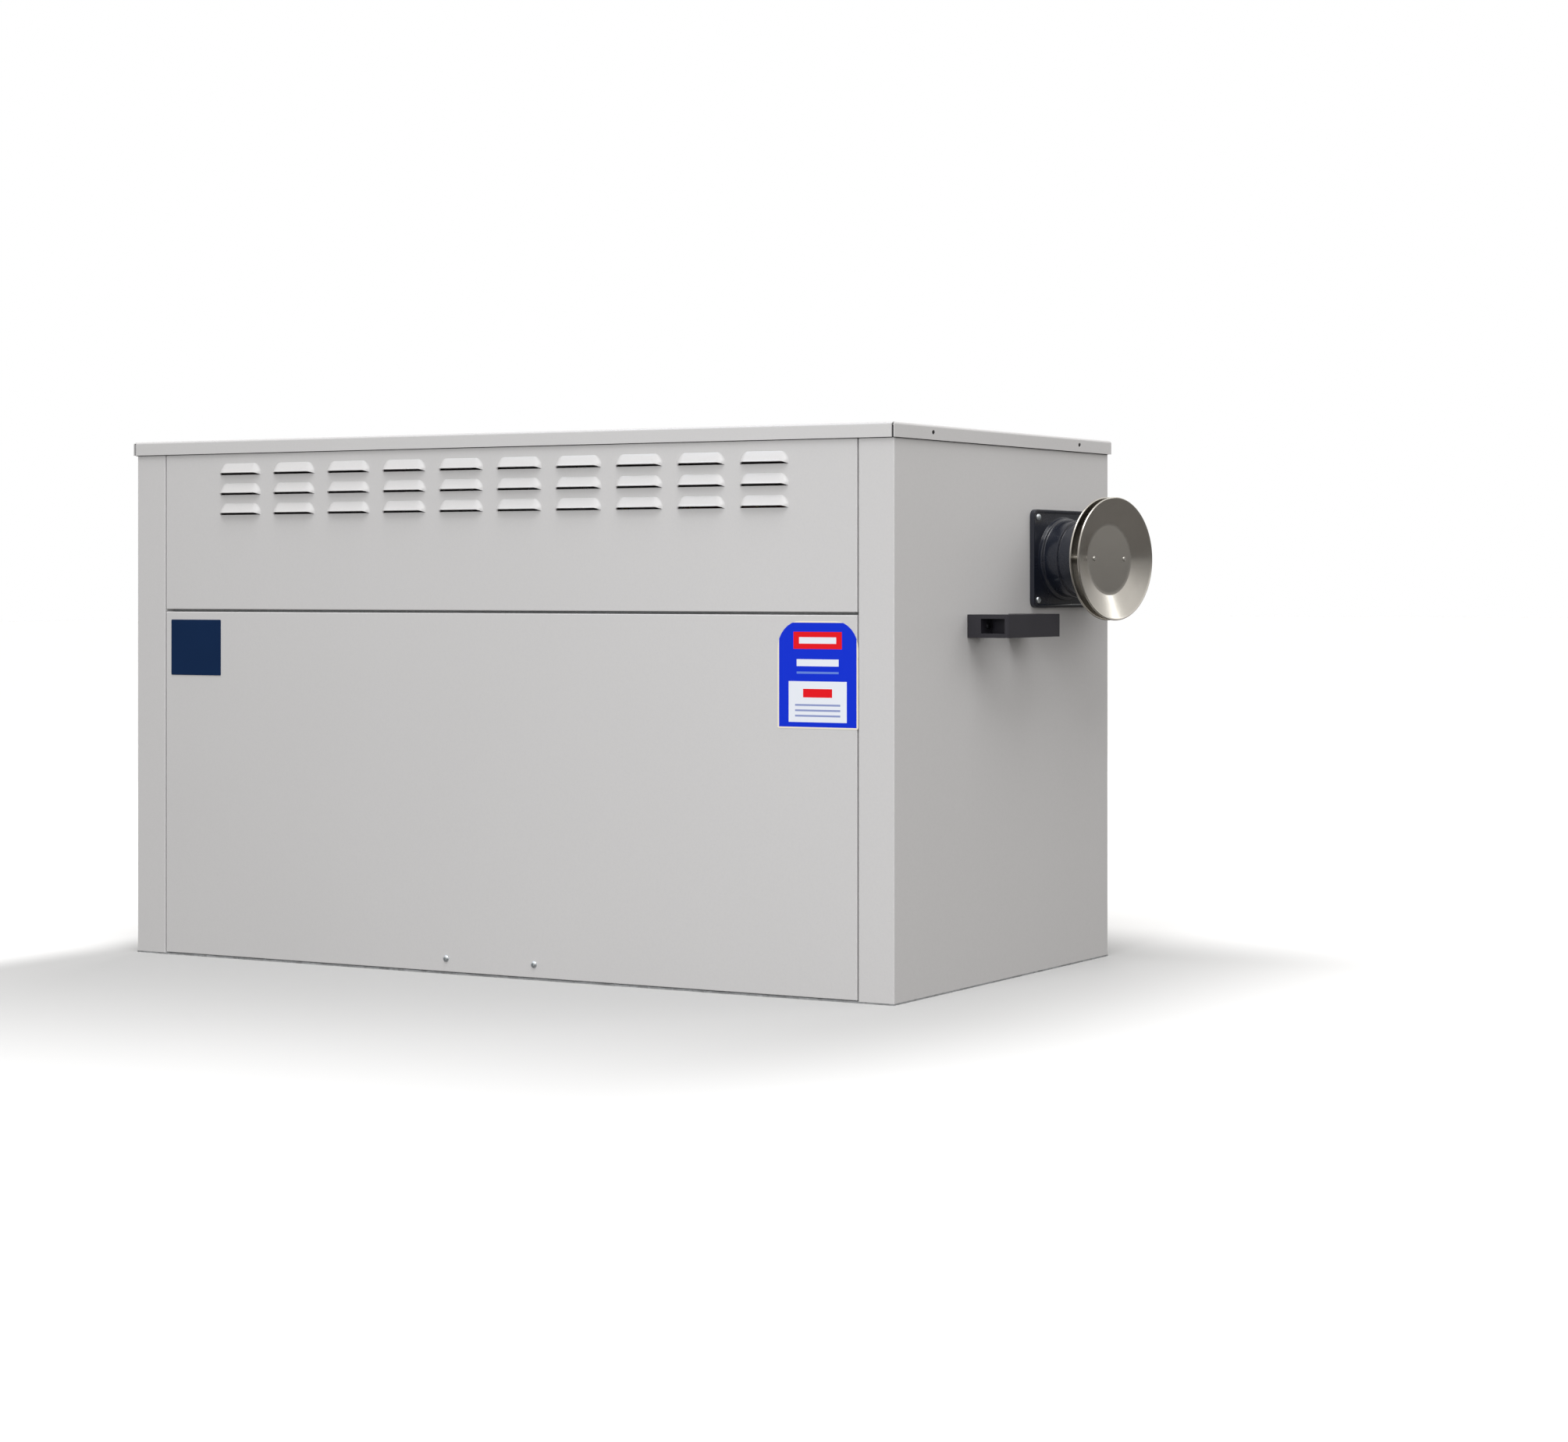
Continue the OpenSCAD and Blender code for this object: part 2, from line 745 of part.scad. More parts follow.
module blower_wheel() color(galvanised)
  translate([blower_x, 0, blower_z]) rotate([90, 0, 0]) {
    r = wheel_d / 2;
    inner = r - blade_d;
    linear_extrude(wheel_w, center = true)
      for (i = [0:blade_n - 1])
        rotate(i * 360 / blade_n) polygon(blade(inner + 0.6, r - 0.6, 14, 1));
    for (s = [-1, 1])
      translate([0, 0, s * (wheel_w / 2 - 1)]) linear_extrude(2, center = true)
        difference() {
          circle(r, $fn = 96);
          circle(inner, $fn = 96);
        }
    translate([0, 0, -hub_y]) difference() {
      union() {
        cylinder(r = inner + 3, h = 2, center = true, $fn = 96);
        cylinder(r = hub_r, h = 18, center = true);
      }
      cylinder(r = shaft_d / 2 + run, h = 20, center = true);
    }
  }

// Forward-curved blade from radius r0 to r1, bent by lean degrees on the way
function blade_point(k, r0, r1, lean, side) =
  let (r = r0 + (r1 - r0) * k, a = lean * k * k) [r * cos(a), r * sin(a) + side];

function blade(r0, r1, lean, t) = concat(
  [for (k = [0:0.25:1]) blade_point(k, r0, r1, lean, -t / 2)],
  [for (k = [1:-0.25:0]) blade_point(k, r0, r1, lean, t / 2)]
);

module blower_shaft() color("silver")
  rod_y(blower_x, blower_z, shaft_d / 2, motor_y1 - shaft_in, hub_y + shaft_end);

module blower_motor() color("#3c3e42")
  difference() {
    union() {
      rod_y(blower_x, blower_z, motor_d / 2, motor_y0 + 8, motor_y1 - 10);
      rod_y(blower_x, blower_z, motor_d / 2 - 8, motor_y0, motor_y1);
      rod_y(blower_x, blower_z, shaft_d / 2 + 8, motor_y0 + 8, motor_y1 + 5);
    }
    rod_y(blower_x, blower_z, shaft_d / 2 + run, motor_y1 - shaft_in - 2, motor_y1 + 6);
  }

module motor_bracket() color("#8f9396")
  translate([blower_x, 0, blower_z]) rotate([90, 0, 0]) {
    face = cheek_y + sheet;
    translate([0, 0, face - 6]) pipe(motor_d / 2 + seat + band_t, band_t, 14);
    for (a = [90, 210, 330])
      rotate(a) translate([motor_d / 2 + seat + 1, -arm_w / 2, face])
        difference() {
          cube([arm_r - motor_d / 2 - seat - 1, arm_w, arm_t]);
          translate([arm_r - motor_d / 2 - 10, arm_w / 2, -over])
            cylinder(r = 2.5, h = arm_t + 2 * over);
        }
  }

// ---------------------------------------------------------------- heat exchanger

module heat_tube(i) color("#9a9c9c")
  translate([tube_x(i), 0, 0]) {
    for (y = [front_leg_y, leg_y])
      translate([0, y, bend_z]) {
        pipe(tube_r, tube_t, deck_z + bead_t - bend_z);
        translate([0, 0, deck_z - bend_z]) pipe(bead_r, bead_r - tube_r + tube_t, bead_t);
      }
    translate([0, leg_y - bend_r, bend_z]) rotate([90, 0, 90])
      rotate_extrude(angle = 180, start = 180) translate([bend_r, 0])
        difference() {
          circle(tube_r);
          circle(tube_r - tube_t);
        }
  }

module collector_box() color(galvanised)
  translate([supply_x, leg_y, deck_z]) {
    difference() {
      union() {
        block([-collector_x, -collector_y, 0], [collector_x, collector_y, collector_h]);
        block([-collector_x - collector_foot, -collector_y - collector_foot, 0],
          [collector_x + collector_foot, collector_y + collector_foot, sheet]);
      }
      block([sheet - collector_x, sheet - collector_y, -over],
        [collector_x - sheet, collector_y - sheet, collector_h - sheet]);
      translate([fan_x - supply_x, fan_y - leg_y, 0]) cylinder(r = fan_inlet_r, h = 2 * collector_h);
    }
  }

// ---------------------------------------------------------------- draft fan

module draft_fan_housing() color(galvanised)
  translate([fan_x, fan_y, fan_z0]) difference() {
    union() {
      mirror([0, 1, 0]) {
        translate([0, 0, fan_h / 2]) scroll_shell(fan_r0, fan_r1, fan_tip, fan_out, sheet, fan_h);
        translate([0, 0, sheet / 2])
          scroll_plate(fan_r0, fan_r1, fan_tip, fan_out, sheet, sheet, fan_inlet_r);
        translate([0, 0, fan_h - sheet / 2])
          scroll_plate(fan_r0, fan_r1, fan_tip, fan_out, sheet, sheet, fan_shaft_r + 2);
      }
      difference() {
        translate([fan_out - 1.5, flue_y - fan_y - joint_w / 2, (fan_h - joint_h) / 2])
          cube([1.5, joint_w, joint_h]);
        translate([fan_out - 3, fan_tip, sheet]) cube([5, fan_r1 - fan_tip, fan_h - 2 * sheet]);
      }
      translate([tap_x - fan_x, leg_y - fan_y, fan_h - sheet / 2]) cylinder(r = 2, h = tap_h);
    }
    translate([tap_x - fan_x, leg_y - fan_y, fan_h - 2 * sheet]) cylinder(r = 1, h = tap_h + 5);
  }

module draft_fan_wheel() color("#85888a")
  translate([fan_x, fan_y, fan_z0]) {
    difference() {
      union() {
        translate([0, 0, fan_h - 10]) cylinder(r = fan_wheel_r, h = 1.5);
        translate([0, 0, fan_h - 24]) cylinder(r = 9, h = 15);
        for (i = [0:11])
          rotate(i * 30) translate([14, -0.6, 8]) cube([fan_wheel_r - 15, 1.2, fan_h - 17]);
      }
      translate([0, 0, -over]) cylinder(r = fan_shaft_r + run, h = fan_h + 2 * over);
    }
  }

module draft_fan_shaft() color("silver")
  translate([fan_x, fan_y, fan_z1 - 24]) cylinder(r = fan_shaft_r, h = fan_motor_z1 - fan_z1 + 38);

module draft_fan_motor() color("#3c3e42")
  translate([fan_x, fan_y, 0]) difference() {
    union() {
      translate([0, 0, fan_motor_z0]) cylinder(r = fan_motor_r, h = fan_motor_z1 - fan_motor_z0);
      translate([0, 0, fan_motor_z1 - over]) cylinder(r = 10, h = 5);
      for (a = [45:90:359])
        rotate(a) translate([fan_motor_r - 8, 0, fan_z1]) cylinder(r = 4, h = 4);
    }
    translate([0, 0, fan_z1]) cylinder(r = fan_shaft_r + run, h = fan_motor_z1);
  }

module motor_cooling_fan() color("#2e3034")
  translate([fan_x, fan_y, fan_motor_z1 + 6]) difference() {
    union() {
      cylinder(r = 9, h = 8);
      for (i = [0:5])
        rotate(i * 60) rotate([25, 0, 0]) translate([6, -5, 3]) cube([cooling_r - 6, 10, 1]);
    }
    translate([0, 0, -5]) cylinder(r = fan_shaft_r + run, h = 20);
    translate([0, 0, -20]) cylinder(r = fan_shaft_r + 3, h = 20);
  }

// ---------------------------------------------------------------- flue

// Plate that joins the flue pipe to the draft fan
module flue_joint_plate() color(galvanised)
  translate([fan_x + fan_out, flue_y, flue_z]) difference() {
    translate([0, -joint_w / 2, -joint_h / 2]) cube([joint_t, joint_w, joint_h]);
    rod_x(0, 0, flue_r - flue_wall, -over, joint_t + over);
  }

module flue_duct() color(galvanised)
  translate([fan_x + fan_out + joint_t, flue_y, flue_z]) rotate([0, 90, 0])
    pipe(flue_r, flue_wall, side_x + 20 - fan_x - fan_out - joint_t);

module flue_flange() color(black_plastic)
  translate([side_x, flue_y, flue_z]) rotate([0, 90, 0]) {
    difference() {
      union() {
        linear_extrude(flange_t) round_square(flange_w, flange_w, flange_corner);
        cylinder(r = collar_r1, h = collar_l1);
        cylinder(r = collar_r2, h = collar_l2);
      }
      translate([0, 0, -over]) cylinder(r = collar_bore, h = collar_l2 + 2 * over);
      for (sx = [-1, 1], sy = [-1, 1])
        translate([sx * flange_screw, sy * flange_screw, -over])
          cylinder(r = screw_hole_r, h = flange_t + 2 * over);
    }
  }

// Rear disc of the cowl, on the end of the collar
module cowl_ring() color("#b9b7b0")
  translate([side_x, flue_y, flue_z]) rotate([0, 90, 0]) {
    r = cowl_d / 2;
    lip = collar_l2 + cowl_gap - 2;
    rotate_extrude()
      polygon([
        [collar_bore, collar_l2], [collar_r2, collar_l2], [r, lip], [r, lip + 1.4],
        [collar_r2, collar_l2 + cowl_t], [collar_bore, collar_l2 + cowl_t]
      ]);
  }

// Front dish of the cowl: a flat middle with a conical rim that leans outwards
module cowl_dish() color("#b9b7b0")
  translate([side_x, flue_y, flue_z]) rotate([0, 90, 0])
    difference() {
      rotate_extrude()
        polygon([
          [0, dish_x], [cowl_flat_d / 2, dish_x], [cowl_d / 2, dish_x + cowl_dish_d - 1],
          [cowl_d / 2, dish_x + cowl_dish_d], [cowl_flat_d / 2 - 0.6, dish_x + cowl_t],
          [0, dish_x + cowl_t]
        ]);
      for (s = [-1, 1])
        translate([0, s * rivet_r, dish_x - over]) cylinder(r = rivet_d + 0.1, h = 3 * over);
    }

// Strap across the collar, with the two riveted posts that hold the dish
module cowl_strap() color("#a5a49e")
  translate([side_x, flue_y, flue_z]) rotate([0, 90, 0]) {
    intersection() {
      cylinder(r = collar_bore - seat, h = dish_x);
      union() {
        translate([-strap_w / 2, -collar_bore, strap_x]) cube([strap_w, 2 * collar_bore, strap_t]);
        for (s = [-1, 1])
          translate([-strap_w / 2, s * (collar_bore - 1.4) - 1.4, strap_x - 14])
            cube([strap_w, 2.8, 14 + strap_t]);
      }
    }
    for (s = [-1, 1])
      translate([0, s * rivet_r, strap_x]) {
        cylinder(r = post_r, h = dish_x - strap_x);
        cylinder(r = rivet_d, h = dish_x - strap_x + cowl_t + 0.6);
        translate([0, 0, dish_x - strap_x + cowl_t]) cylinder(r1 = 3, r2 = 2, h = 1.2);
      }
  }

// ---------------------------------------------------------------- burners and gas

module burners() color("#8d8f90")
  for (i = [1:tube_n])
    translate([tube_x(i), front_leg_y, deck_z]) {
      w = burner_t;
      ring = plate_up + plate_t;
      rotate_extrude()
        polygon([
          [burner_r - w, burner_up], [burner_r, burner_up], [burner_r, ring],
          [burner_r + 3, ring], [burner_r + 3, ring + 2], [burner_r, ring + 2],
          [burner_r, ring + 10], [throat_r, ring + 26], [throat_r, bell_up - 14],
          [burner_r, bell_up], [burner_r - w, bell_up], [throat_r - w, bell_up - 14],
          [throat_r - w, ring + 26], [burner_r - w, ring + 9]
        ]);
    }

module burner_bracket() color(galvanised)
  translate([supply_x, front_leg_y, deck_z])
    difference() {
      union() {
        block([-plate_x, -plate_y, plate_up], [plate_x, plate_y, plate_up + plate_t]);
        for (s = [-1, 1])
          mirror_x(s) {
            block([plate_x - plate_t, -plate_y, 0], [plate_x, plate_y, plate_up + plate_t]);
            block([plate_x - plate_t, -plate_y, 0], [plate_x + 12, plate_y, plate_t]);
            block([plate_x - plate_t, -15, plate_up], [plate_x, 15, manifold_up + manifold_r + 6]);
          }
      }
      for (i = [1:tube_n])
        translate([tube_x(i) - supply_x, 0, plate_up - over])
          cylinder(r = burner_r + 0.2, h = plate_t + 2 * over);
      for (s = [-1, 1])
        translate([s * electrode_x, 0, plate_up - over]) cylinder(r = 4.2, h = plate_t + 2 * over);
      rod_x(0, manifold_up, manifold_r + seat, -plate_x - over, plate_x + over);
    }

module gas_manifold() color("#6f7376")
  difference() {
    union() {
      rod_x(front_leg_y, manifold_z, manifold_r, valve_x1, supply_x + plate_x + 10);
      for (i = [1:tube_n])
        translate([tube_x(i), front_leg_y, manifold_z - manifold_r - boss_l])
          cylinder(r = boss_r, h = manifold_r + boss_l);
    }
    rod_x(front_leg_y, manifold_z, manifold_r - 2.3, valve_x1 - over, supply_x + plate_x + 5);
    for (i = [1:tube_n])
      translate([tube_x(i), front_leg_y, manifold_z - manifold_r - boss_l - over])
        cylinder(r = 3, h = manifold_r + boss_l);
  }

module gas_orifices() color("#c8a24a")
  for (i = [1:tube_n])
    translate([tube_x(i), front_leg_y, manifold_z - manifold_r - boss_l])
      difference() {
        union() {
          translate([0, 0, -6]) cylinder(r = 7, h = 6, $fn = 6);
          translate([0, 0, -orifice_l]) cylinder(r1 = 3, r2 = 5, h = orifice_l - 6 + 0.01);
        }
        translate([0, 0, -orifice_l - over]) cylinder(r = 1, h = orifice_l + 2 * over);
      }

module gas_valve() color("#9aa0a6")
  difference() {
    union() {
      block([valve_x0, valve_y - valve_d / 2, manifold_z - valve_h / 2],
        [valve_x1, valve_y + valve_d / 2, manifold_z + valve_h / 2 - 12]);
      for (x = [0.3, 0.7])
        translate([valve_x0 + x * valve_w, valve_y + 8, manifold_z + valve_h / 2 - 12 - over])
          cylinder(r = 15, h = 13 + over);
      rod_y(knob_x, manifold_z, knob_r - 1, valve_y - valve_d / 2 - 3, valve_y - valve_d / 2 + over);
      rod_y(knob_x, manifold_z, spindle_r, valve_y - valve_d / 2 - 3 - spindle_l,
        valve_y - valve_d / 2);
    }
    rod_x(valve_y, manifold_z, manifold_r - 2.3, valve_x1 - 20, valve_x1 + over);
    rod_x(valve_y, manifold_z, gas_r - gas_wall, valve_x0 - over, valve_x0 + 20);
  }

module gas_valve_knob() color("#1f2023")
  difference() {
    union() {
      rod_y(knob_x, manifold_z, knob_r, knob_y - knob_l, knob_y);
      block([knob_x - 2.5, knob_y - knob_l - 4, manifold_z - knob_r + 2],
        [knob_x + 2.5, knob_y - knob_l + over, manifold_z + knob_r - 2]);
    }
    rod_y(knob_x, manifold_z, spindle_r + run, knob_y - spindle_l - 1, knob_y + over);
  }

// Pipe from the valve to the left, round an elbow and out through the rear panel
module gas_inlet_pipe() color("#6f7376")
  translate([0, 0, manifold_z]) {
    translate([gas_x + elbow_r, valve_y, 0]) rotate([0, 90, 0])
      pipe(gas_r, gas_wall, valve_x0 - gas_x - elbow_r);
    translate([gas_x + elbow_r, valve_y + elbow_r, 0])
      rotate_extrude(angle = 90, start = 180) translate([elbow_r, 0])
        difference() {
          circle(gas_r);
          circle(gas_r - gas_wall);
        }
    translate([gas_x, valve_y + elbow_r, 0]) rotate([-90, 0, 0]) {
      l = rear_out + gas_out - valve_y - elbow_r;
      pipe(gas_r, gas_wall, l - gas_thread_l);
      pipe(gas_thread_r, gas_thread_r - gas_r + gas_wall, l);
    }
    translate([gas_x + elbow_r + 6, valve_y, 0]) rotate([0, 90, 0])
      difference() {
        cylinder(r = gas_r + 6, h = 20, $fn = 6);
        translate([0, 0, -over]) cylinder(r = gas_r - over, h = 20 + 2 * over);
      }
  }

// Ceramic-bodied electrode that reaches down beside a burner
module electrode(x) {
  translate([supply_x + x, front_leg_y, deck_z]) {
    translate([0, 0, plate_up - 16]) cylinder(r = 3.9, h = 44);
    translate([0, 0, plate_up + plate_t]) cylinder(r = 7, h = 5);
    translate([0, 0, burner_up - 2]) cylinder(r = 1, h = plate_up);
    translate([0, 0, plate_up + 26]) cylinder(r = 1.6, h = 10);
  }
}

module igniter() color("#e6e1d6") electrode(-electrode_x);
module flame_sensor() color("#efece4") electrode(electrode_x);

// ---------------------------------------------------------------- controls

module limit_switch() color("#3a3b3e")
  translate([limit_x, limit_y, deck_z]) difference() {
    union() {
      cylinder(r = limit_r, h = limit_h);
      translate([0, 0, -6]) cylinder(r = limit_r - 2, h = 7);
      block([-22, -6, 0], [22, 6, 1.2]);
    }
    translate([0, 0, 3]) cylinder(r = button_r + run, h = limit_h);
  }

module limit_reset_button() color("#b3261e")
  translate([limit_x, limit_y, deck_z + 3 + button_up]) cylinder(r = button_r, h = limit_h - 3);

module pressure_switch() color("#2c2d31")
  translate([vac_x, vac_y, deck_z]) difference() {
    union() {
      block([-vac_r - 6, -14, 0], [vac_r + 6, 14, 1.5]);
      translate([0, 0, 1]) cylinder(r = vac_r, h = vac_h * 0.45);
      translate([0, 0, 1 + vac_h * 0.4]) cylinder(r = vac_r - 3, h = vac_h * 0.6);
      translate([0, 0, vac_h]) cylinder(r = 2, h = 11);
    }
    translate([0, 0, vac_h + 2]) cylinder(r = 1, h = 12);
  }

module hose(l) pipe(hose_r, hose_r - hose_bore, l);

module hose_elbow()
  rotate([90, 0, 0]) rotate_extrude(angle = 90) translate([hose_bend, 0])
    difference() {
      circle(hose_r, $fn = 24);
      circle(hose_bore, $fn = 24);
    }

// Hose from the pressure switch up, across and down to the fan housing's tap
module pressure_hose() color("#7d2f2a") {
  low = deck_z + vac_h + 2;
  corner_z = hose_top - hose_bend;
  translate([vac_x, vac_y, low]) hose(corner_z - low);
  translate([vac_x + hose_bend, vac_y, corner_z]) mirror([1, 0, 0]) hose_elbow();
  translate([vac_x + hose_bend, vac_y, hose_top]) rotate([0, 90, 0])
    hose(tap_x - vac_x - 2 * hose_bend);
  translate([tap_x - hose_bend, vac_y, corner_z]) hose_elbow();
  translate([tap_x, vac_y, fan_z1 + 1]) hose(corner_z - fan_z1 - 1);
}

module control_box() color(galvanised)
  translate([box_x0, box_y0, deck_z]) difference() {
    cube([box_w, box_d, box_h]);
    translate([box_t, box_t, box_t]) cube([box_w - 2 * box_t, box_d - 2 * box_t, box_h]);
    translate([switch_x - box_x0 - switch_w / 2, -over, switch_z - deck_z - switch_h / 2])
      cube([switch_w, box_t + 2 * over, switch_h]);
    translate([box_w / 2, box_d - box_t - over, 72]) rotate([-90, 0, 0]) cylinder(r = 8, h = 5);
  }

module control_box_cover() color(galvanised)
  translate([box_x0, box_y0, deck_z + box_h]) {
    cube([box_w, box_d, box_t]);
    for (y = [box_t + seat, box_d - 2 * box_t - seat])
      translate([box_t + seat, y, -12]) cube([box_w - 2 * box_t - 2 * seat, box_t, 12 + 0.5]);
  }

module circuit_board() color("#2c6b45")
  translate([box_x0 + 12, box_y0 + 14, deck_z + box_t]) {
    translate([0, 0, board_up]) cube([150, 100, board_t]);
    for (x = [8, 142], y = [8, 92]) translate([x, y, 0]) cylinder(r = 3.5, h = board_up + 0.5);
    top = board_up + board_t - 0.1;
    for (x = [18:24:66]) translate([x, 18, top]) cube([18, 20, 17]);
    for (x = [24, 50]) translate([x, 66, top]) cylinder(r = 8, h = 22);
    translate([84, 20, top]) cube([50, 14, 12]);
    translate([84, 60, top]) cube([24, 24, 4]);
  }

module transformer() color("#55514c")
  translate([box_x0 + box_w - 76, box_y0 + 30, deck_z + box_t]) {
    cube([56, 62, 4]);
    translate([8, 6, 3.5]) cube([40, 50, 44]);
    translate([2, 14, 8]) cube([52, 34, 34]);
  }

// Frame of the power switch, with a hole for the rocker's pin in each side
module switch_frame() color("#1a1b1e")
  translate([switch_x, box_y0, switch_z]) difference() {
    union() {
      block([-switch_w / 2 - 2, -2, -switch_h / 2 - 2], [switch_w / 2 + 2, 0, switch_h / 2 + 2]);
      block([seat - switch_w / 2, -2, seat - switch_h / 2],
        [switch_w / 2 - seat, switch_deep, switch_h / 2 - seat]);
    }
    block([-switch_in_w / 2, -2 - over, -switch_in_h / 2],
      [switch_in_w / 2, switch_deep - 2, switch_in_h / 2]);
    rod_x(switch_pin_y, 0, switch_pin_r + run, -switch_w, switch_w);
  }

// Rocker, tipped to its ON side
module power_switch() color("#26272b")
  translate([switch_x, box_y0 + switch_pin_y, switch_z]) rotate([-rocker_tip, 0, 0]) {
    rotate([90, 0, 90]) linear_extrude(switch_in_w - 2 * seat, center = true)
      polygon([[-6.5, 11.5], [-4.5, 0], [-6.5, -11.5], [3, -6], [3, 6]]);
    rod_x(0, 0, switch_pin_r, 2 * seat - switch_w / 2, switch_w / 2 - 2 * seat);
  }

// Gland in the rear panel for the power lead
module cable_gland() color("#1c1d21")
  translate([gland_x, 0, gland_z]) difference() {
    union() {
      rod_y(0, 0, gland_r - 1 - seat, rear_in - 8, rear_out + 8);
      translate([0, rear_out, 0]) rotate([-90, 0, 0]) cylinder(r = gland_r + 5, h = 7, $fn = 6);
      rod_y(0, 0, gland_r, rear_out + 6, rear_out + 20);
      translate([0, rear_in - 5, 0]) rotate([-90, 0, 0]) cylinder(r = gland_r + 5, h = 5, $fn = 6);
    }
    rod_y(0, 0, gland_bore, rear_in - 10, rear_out + 22);
  }

// ---------------------------------------------------------------- handles and screws

module handle()
  translate([side_x, handle_y, handle_z]) {
    h = handle_h / 2;
    l = handle_l / 2;
    corner = 4;
    difference() {
      translate([0, 0, -h]) linear_extrude(handle_h) {
        translate([0, -l]) square([handle_out - corner, handle_l]);
        translate([0, corner - l]) square([handle_out, handle_l - 2 * corner]);
        for (s = [-1, 1]) translate([handle_out - corner, s * (l - corner)]) circle(corner);
      }
      block([-over, handle_leg - l, -h - over], [handle_out - handle_grip, l - handle_leg, h + over]);
      for (s = [-1, 1])
        mirror([0, s > 0 ? 0 : 1, 0]) {
          block([handle_foot, l - handle_leg + 3, handle_wall - h],
            [handle_out - handle_wall, l + over, h - handle_wall]);
          rod_x(handle_screw_y, 0, screw_hole_r, -over, handle_foot + over);
        }
    }
  }

module carrying_handles() color("#37343a")
  for (s = [-1, 1]) mirror_x(s) handle();

module case_screws() color("silver")
  for (p = case_screw_places) translate(p[0]) rotate(p[1]) screw(p[2]);

// ---------------------------------------------------------------- the model

base_tray();
left_side_panel();
right_side_panel();
rear_panel();
lid();
upper_front_panel();
lower_front_panel();
panel_insulation();
badge_plate();
panel_screws();
mid_rail();
shelf();
partition();
duct_spigots();
blower_rails();
blower_mounts();
blower_scroll();
blower_side_plates();
blower_wheel();
blower_shaft();
blower_motor();
motor_bracket();
heat_tube(1);  // heat_tube_1
heat_tube(2);  // heat_tube_2
heat_tube(3);  // heat_tube_3
heat_tube(4);  // heat_tube_4
collector_box();
draft_fan_housing();
draft_fan_wheel();
draft_fan_shaft();
draft_fan_motor();
motor_cooling_fan();
flue_joint_plate();
flue_duct();
flue_flange();
cowl_ring();
cowl_dish();
cowl_strap();
burners();
burner_bracket();
gas_manifold();
gas_orifices();
gas_valve();
gas_valve_knob();
gas_inlet_pipe();
igniter();
flame_sensor();
limit_switch();
limit_reset_button();
pressure_switch();
pressure_hose();
control_box();
control_box_cover();
circuit_board();
transformer();
switch_frame();
power_switch();
cable_gland();
carrying_handles();
case_screws();
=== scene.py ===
import json
import math
import random

import bmesh
import bpy
import numpy as np
from mathutils import Matrix, Vector


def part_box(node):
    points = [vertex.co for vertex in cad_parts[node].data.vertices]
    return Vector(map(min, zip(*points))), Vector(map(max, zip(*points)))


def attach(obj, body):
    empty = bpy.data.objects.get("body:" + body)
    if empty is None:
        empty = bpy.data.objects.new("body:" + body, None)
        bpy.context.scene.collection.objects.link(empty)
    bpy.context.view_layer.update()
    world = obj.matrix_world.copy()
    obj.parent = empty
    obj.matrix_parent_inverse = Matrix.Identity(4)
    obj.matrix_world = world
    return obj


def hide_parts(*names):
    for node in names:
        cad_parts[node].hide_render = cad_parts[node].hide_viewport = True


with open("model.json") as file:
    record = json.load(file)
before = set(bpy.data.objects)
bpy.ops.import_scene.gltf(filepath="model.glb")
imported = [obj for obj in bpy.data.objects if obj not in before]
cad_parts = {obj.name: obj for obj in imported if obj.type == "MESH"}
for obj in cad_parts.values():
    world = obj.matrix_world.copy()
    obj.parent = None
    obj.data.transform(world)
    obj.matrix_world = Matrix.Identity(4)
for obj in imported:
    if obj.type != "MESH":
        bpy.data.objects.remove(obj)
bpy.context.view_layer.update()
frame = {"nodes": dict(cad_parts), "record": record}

# ---------------------------------------------------------------- sizes, in metres, from the frame
MM = 0.001
SHEET = 1.2 * MM
lid_low, lid_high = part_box("lid")
side_low, side_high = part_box("right_side_panel")
upper_low, upper_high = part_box("upper_front_panel")
lower_low, lower_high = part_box("lower_front_panel")
blanket_low, blanket_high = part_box("panel_insulation")
badge_low, badge_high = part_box("badge_plate")
flange_low, flange_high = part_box("flue_flange")
CASE_TOP = lid_high.z
SIDE_X = side_high.x
FRONT_Y = side_low.y
REAR_Y = side_high.y
FLUE_Y = (flange_low.y + flange_high.y) / 2
FLUE_Z = (flange_low.z + flange_high.z) / 2


# ---------------------------------------------------------------- shader maths
class Value:
    """An output of a node. Arithmetic on it adds Math nodes."""

    def __init__(self, finish, socket):
        self.finish, self.socket = finish, socket

    def __add__(self, other):
        return self.finish.math("ADD", self, other)

    def __sub__(self, other):
        return self.finish.math("SUBTRACT", self, other)

    def __rsub__(self, other):
        return self.finish.math("SUBTRACT", other, self)

    def __mul__(self, other):
        return self.finish.math("MULTIPLY", self, other)

    def __truediv__(self, other):
        return self.finish.math("DIVIDE", self, other)

    def __lt__(self, other):
        return self.finish.math("LESS_THAN", self, other)

    def __gt__(self, other):
        return self.finish.math("GREATER_THAN", self, other)

    __radd__ = __add__
    __rmul__ = __mul__


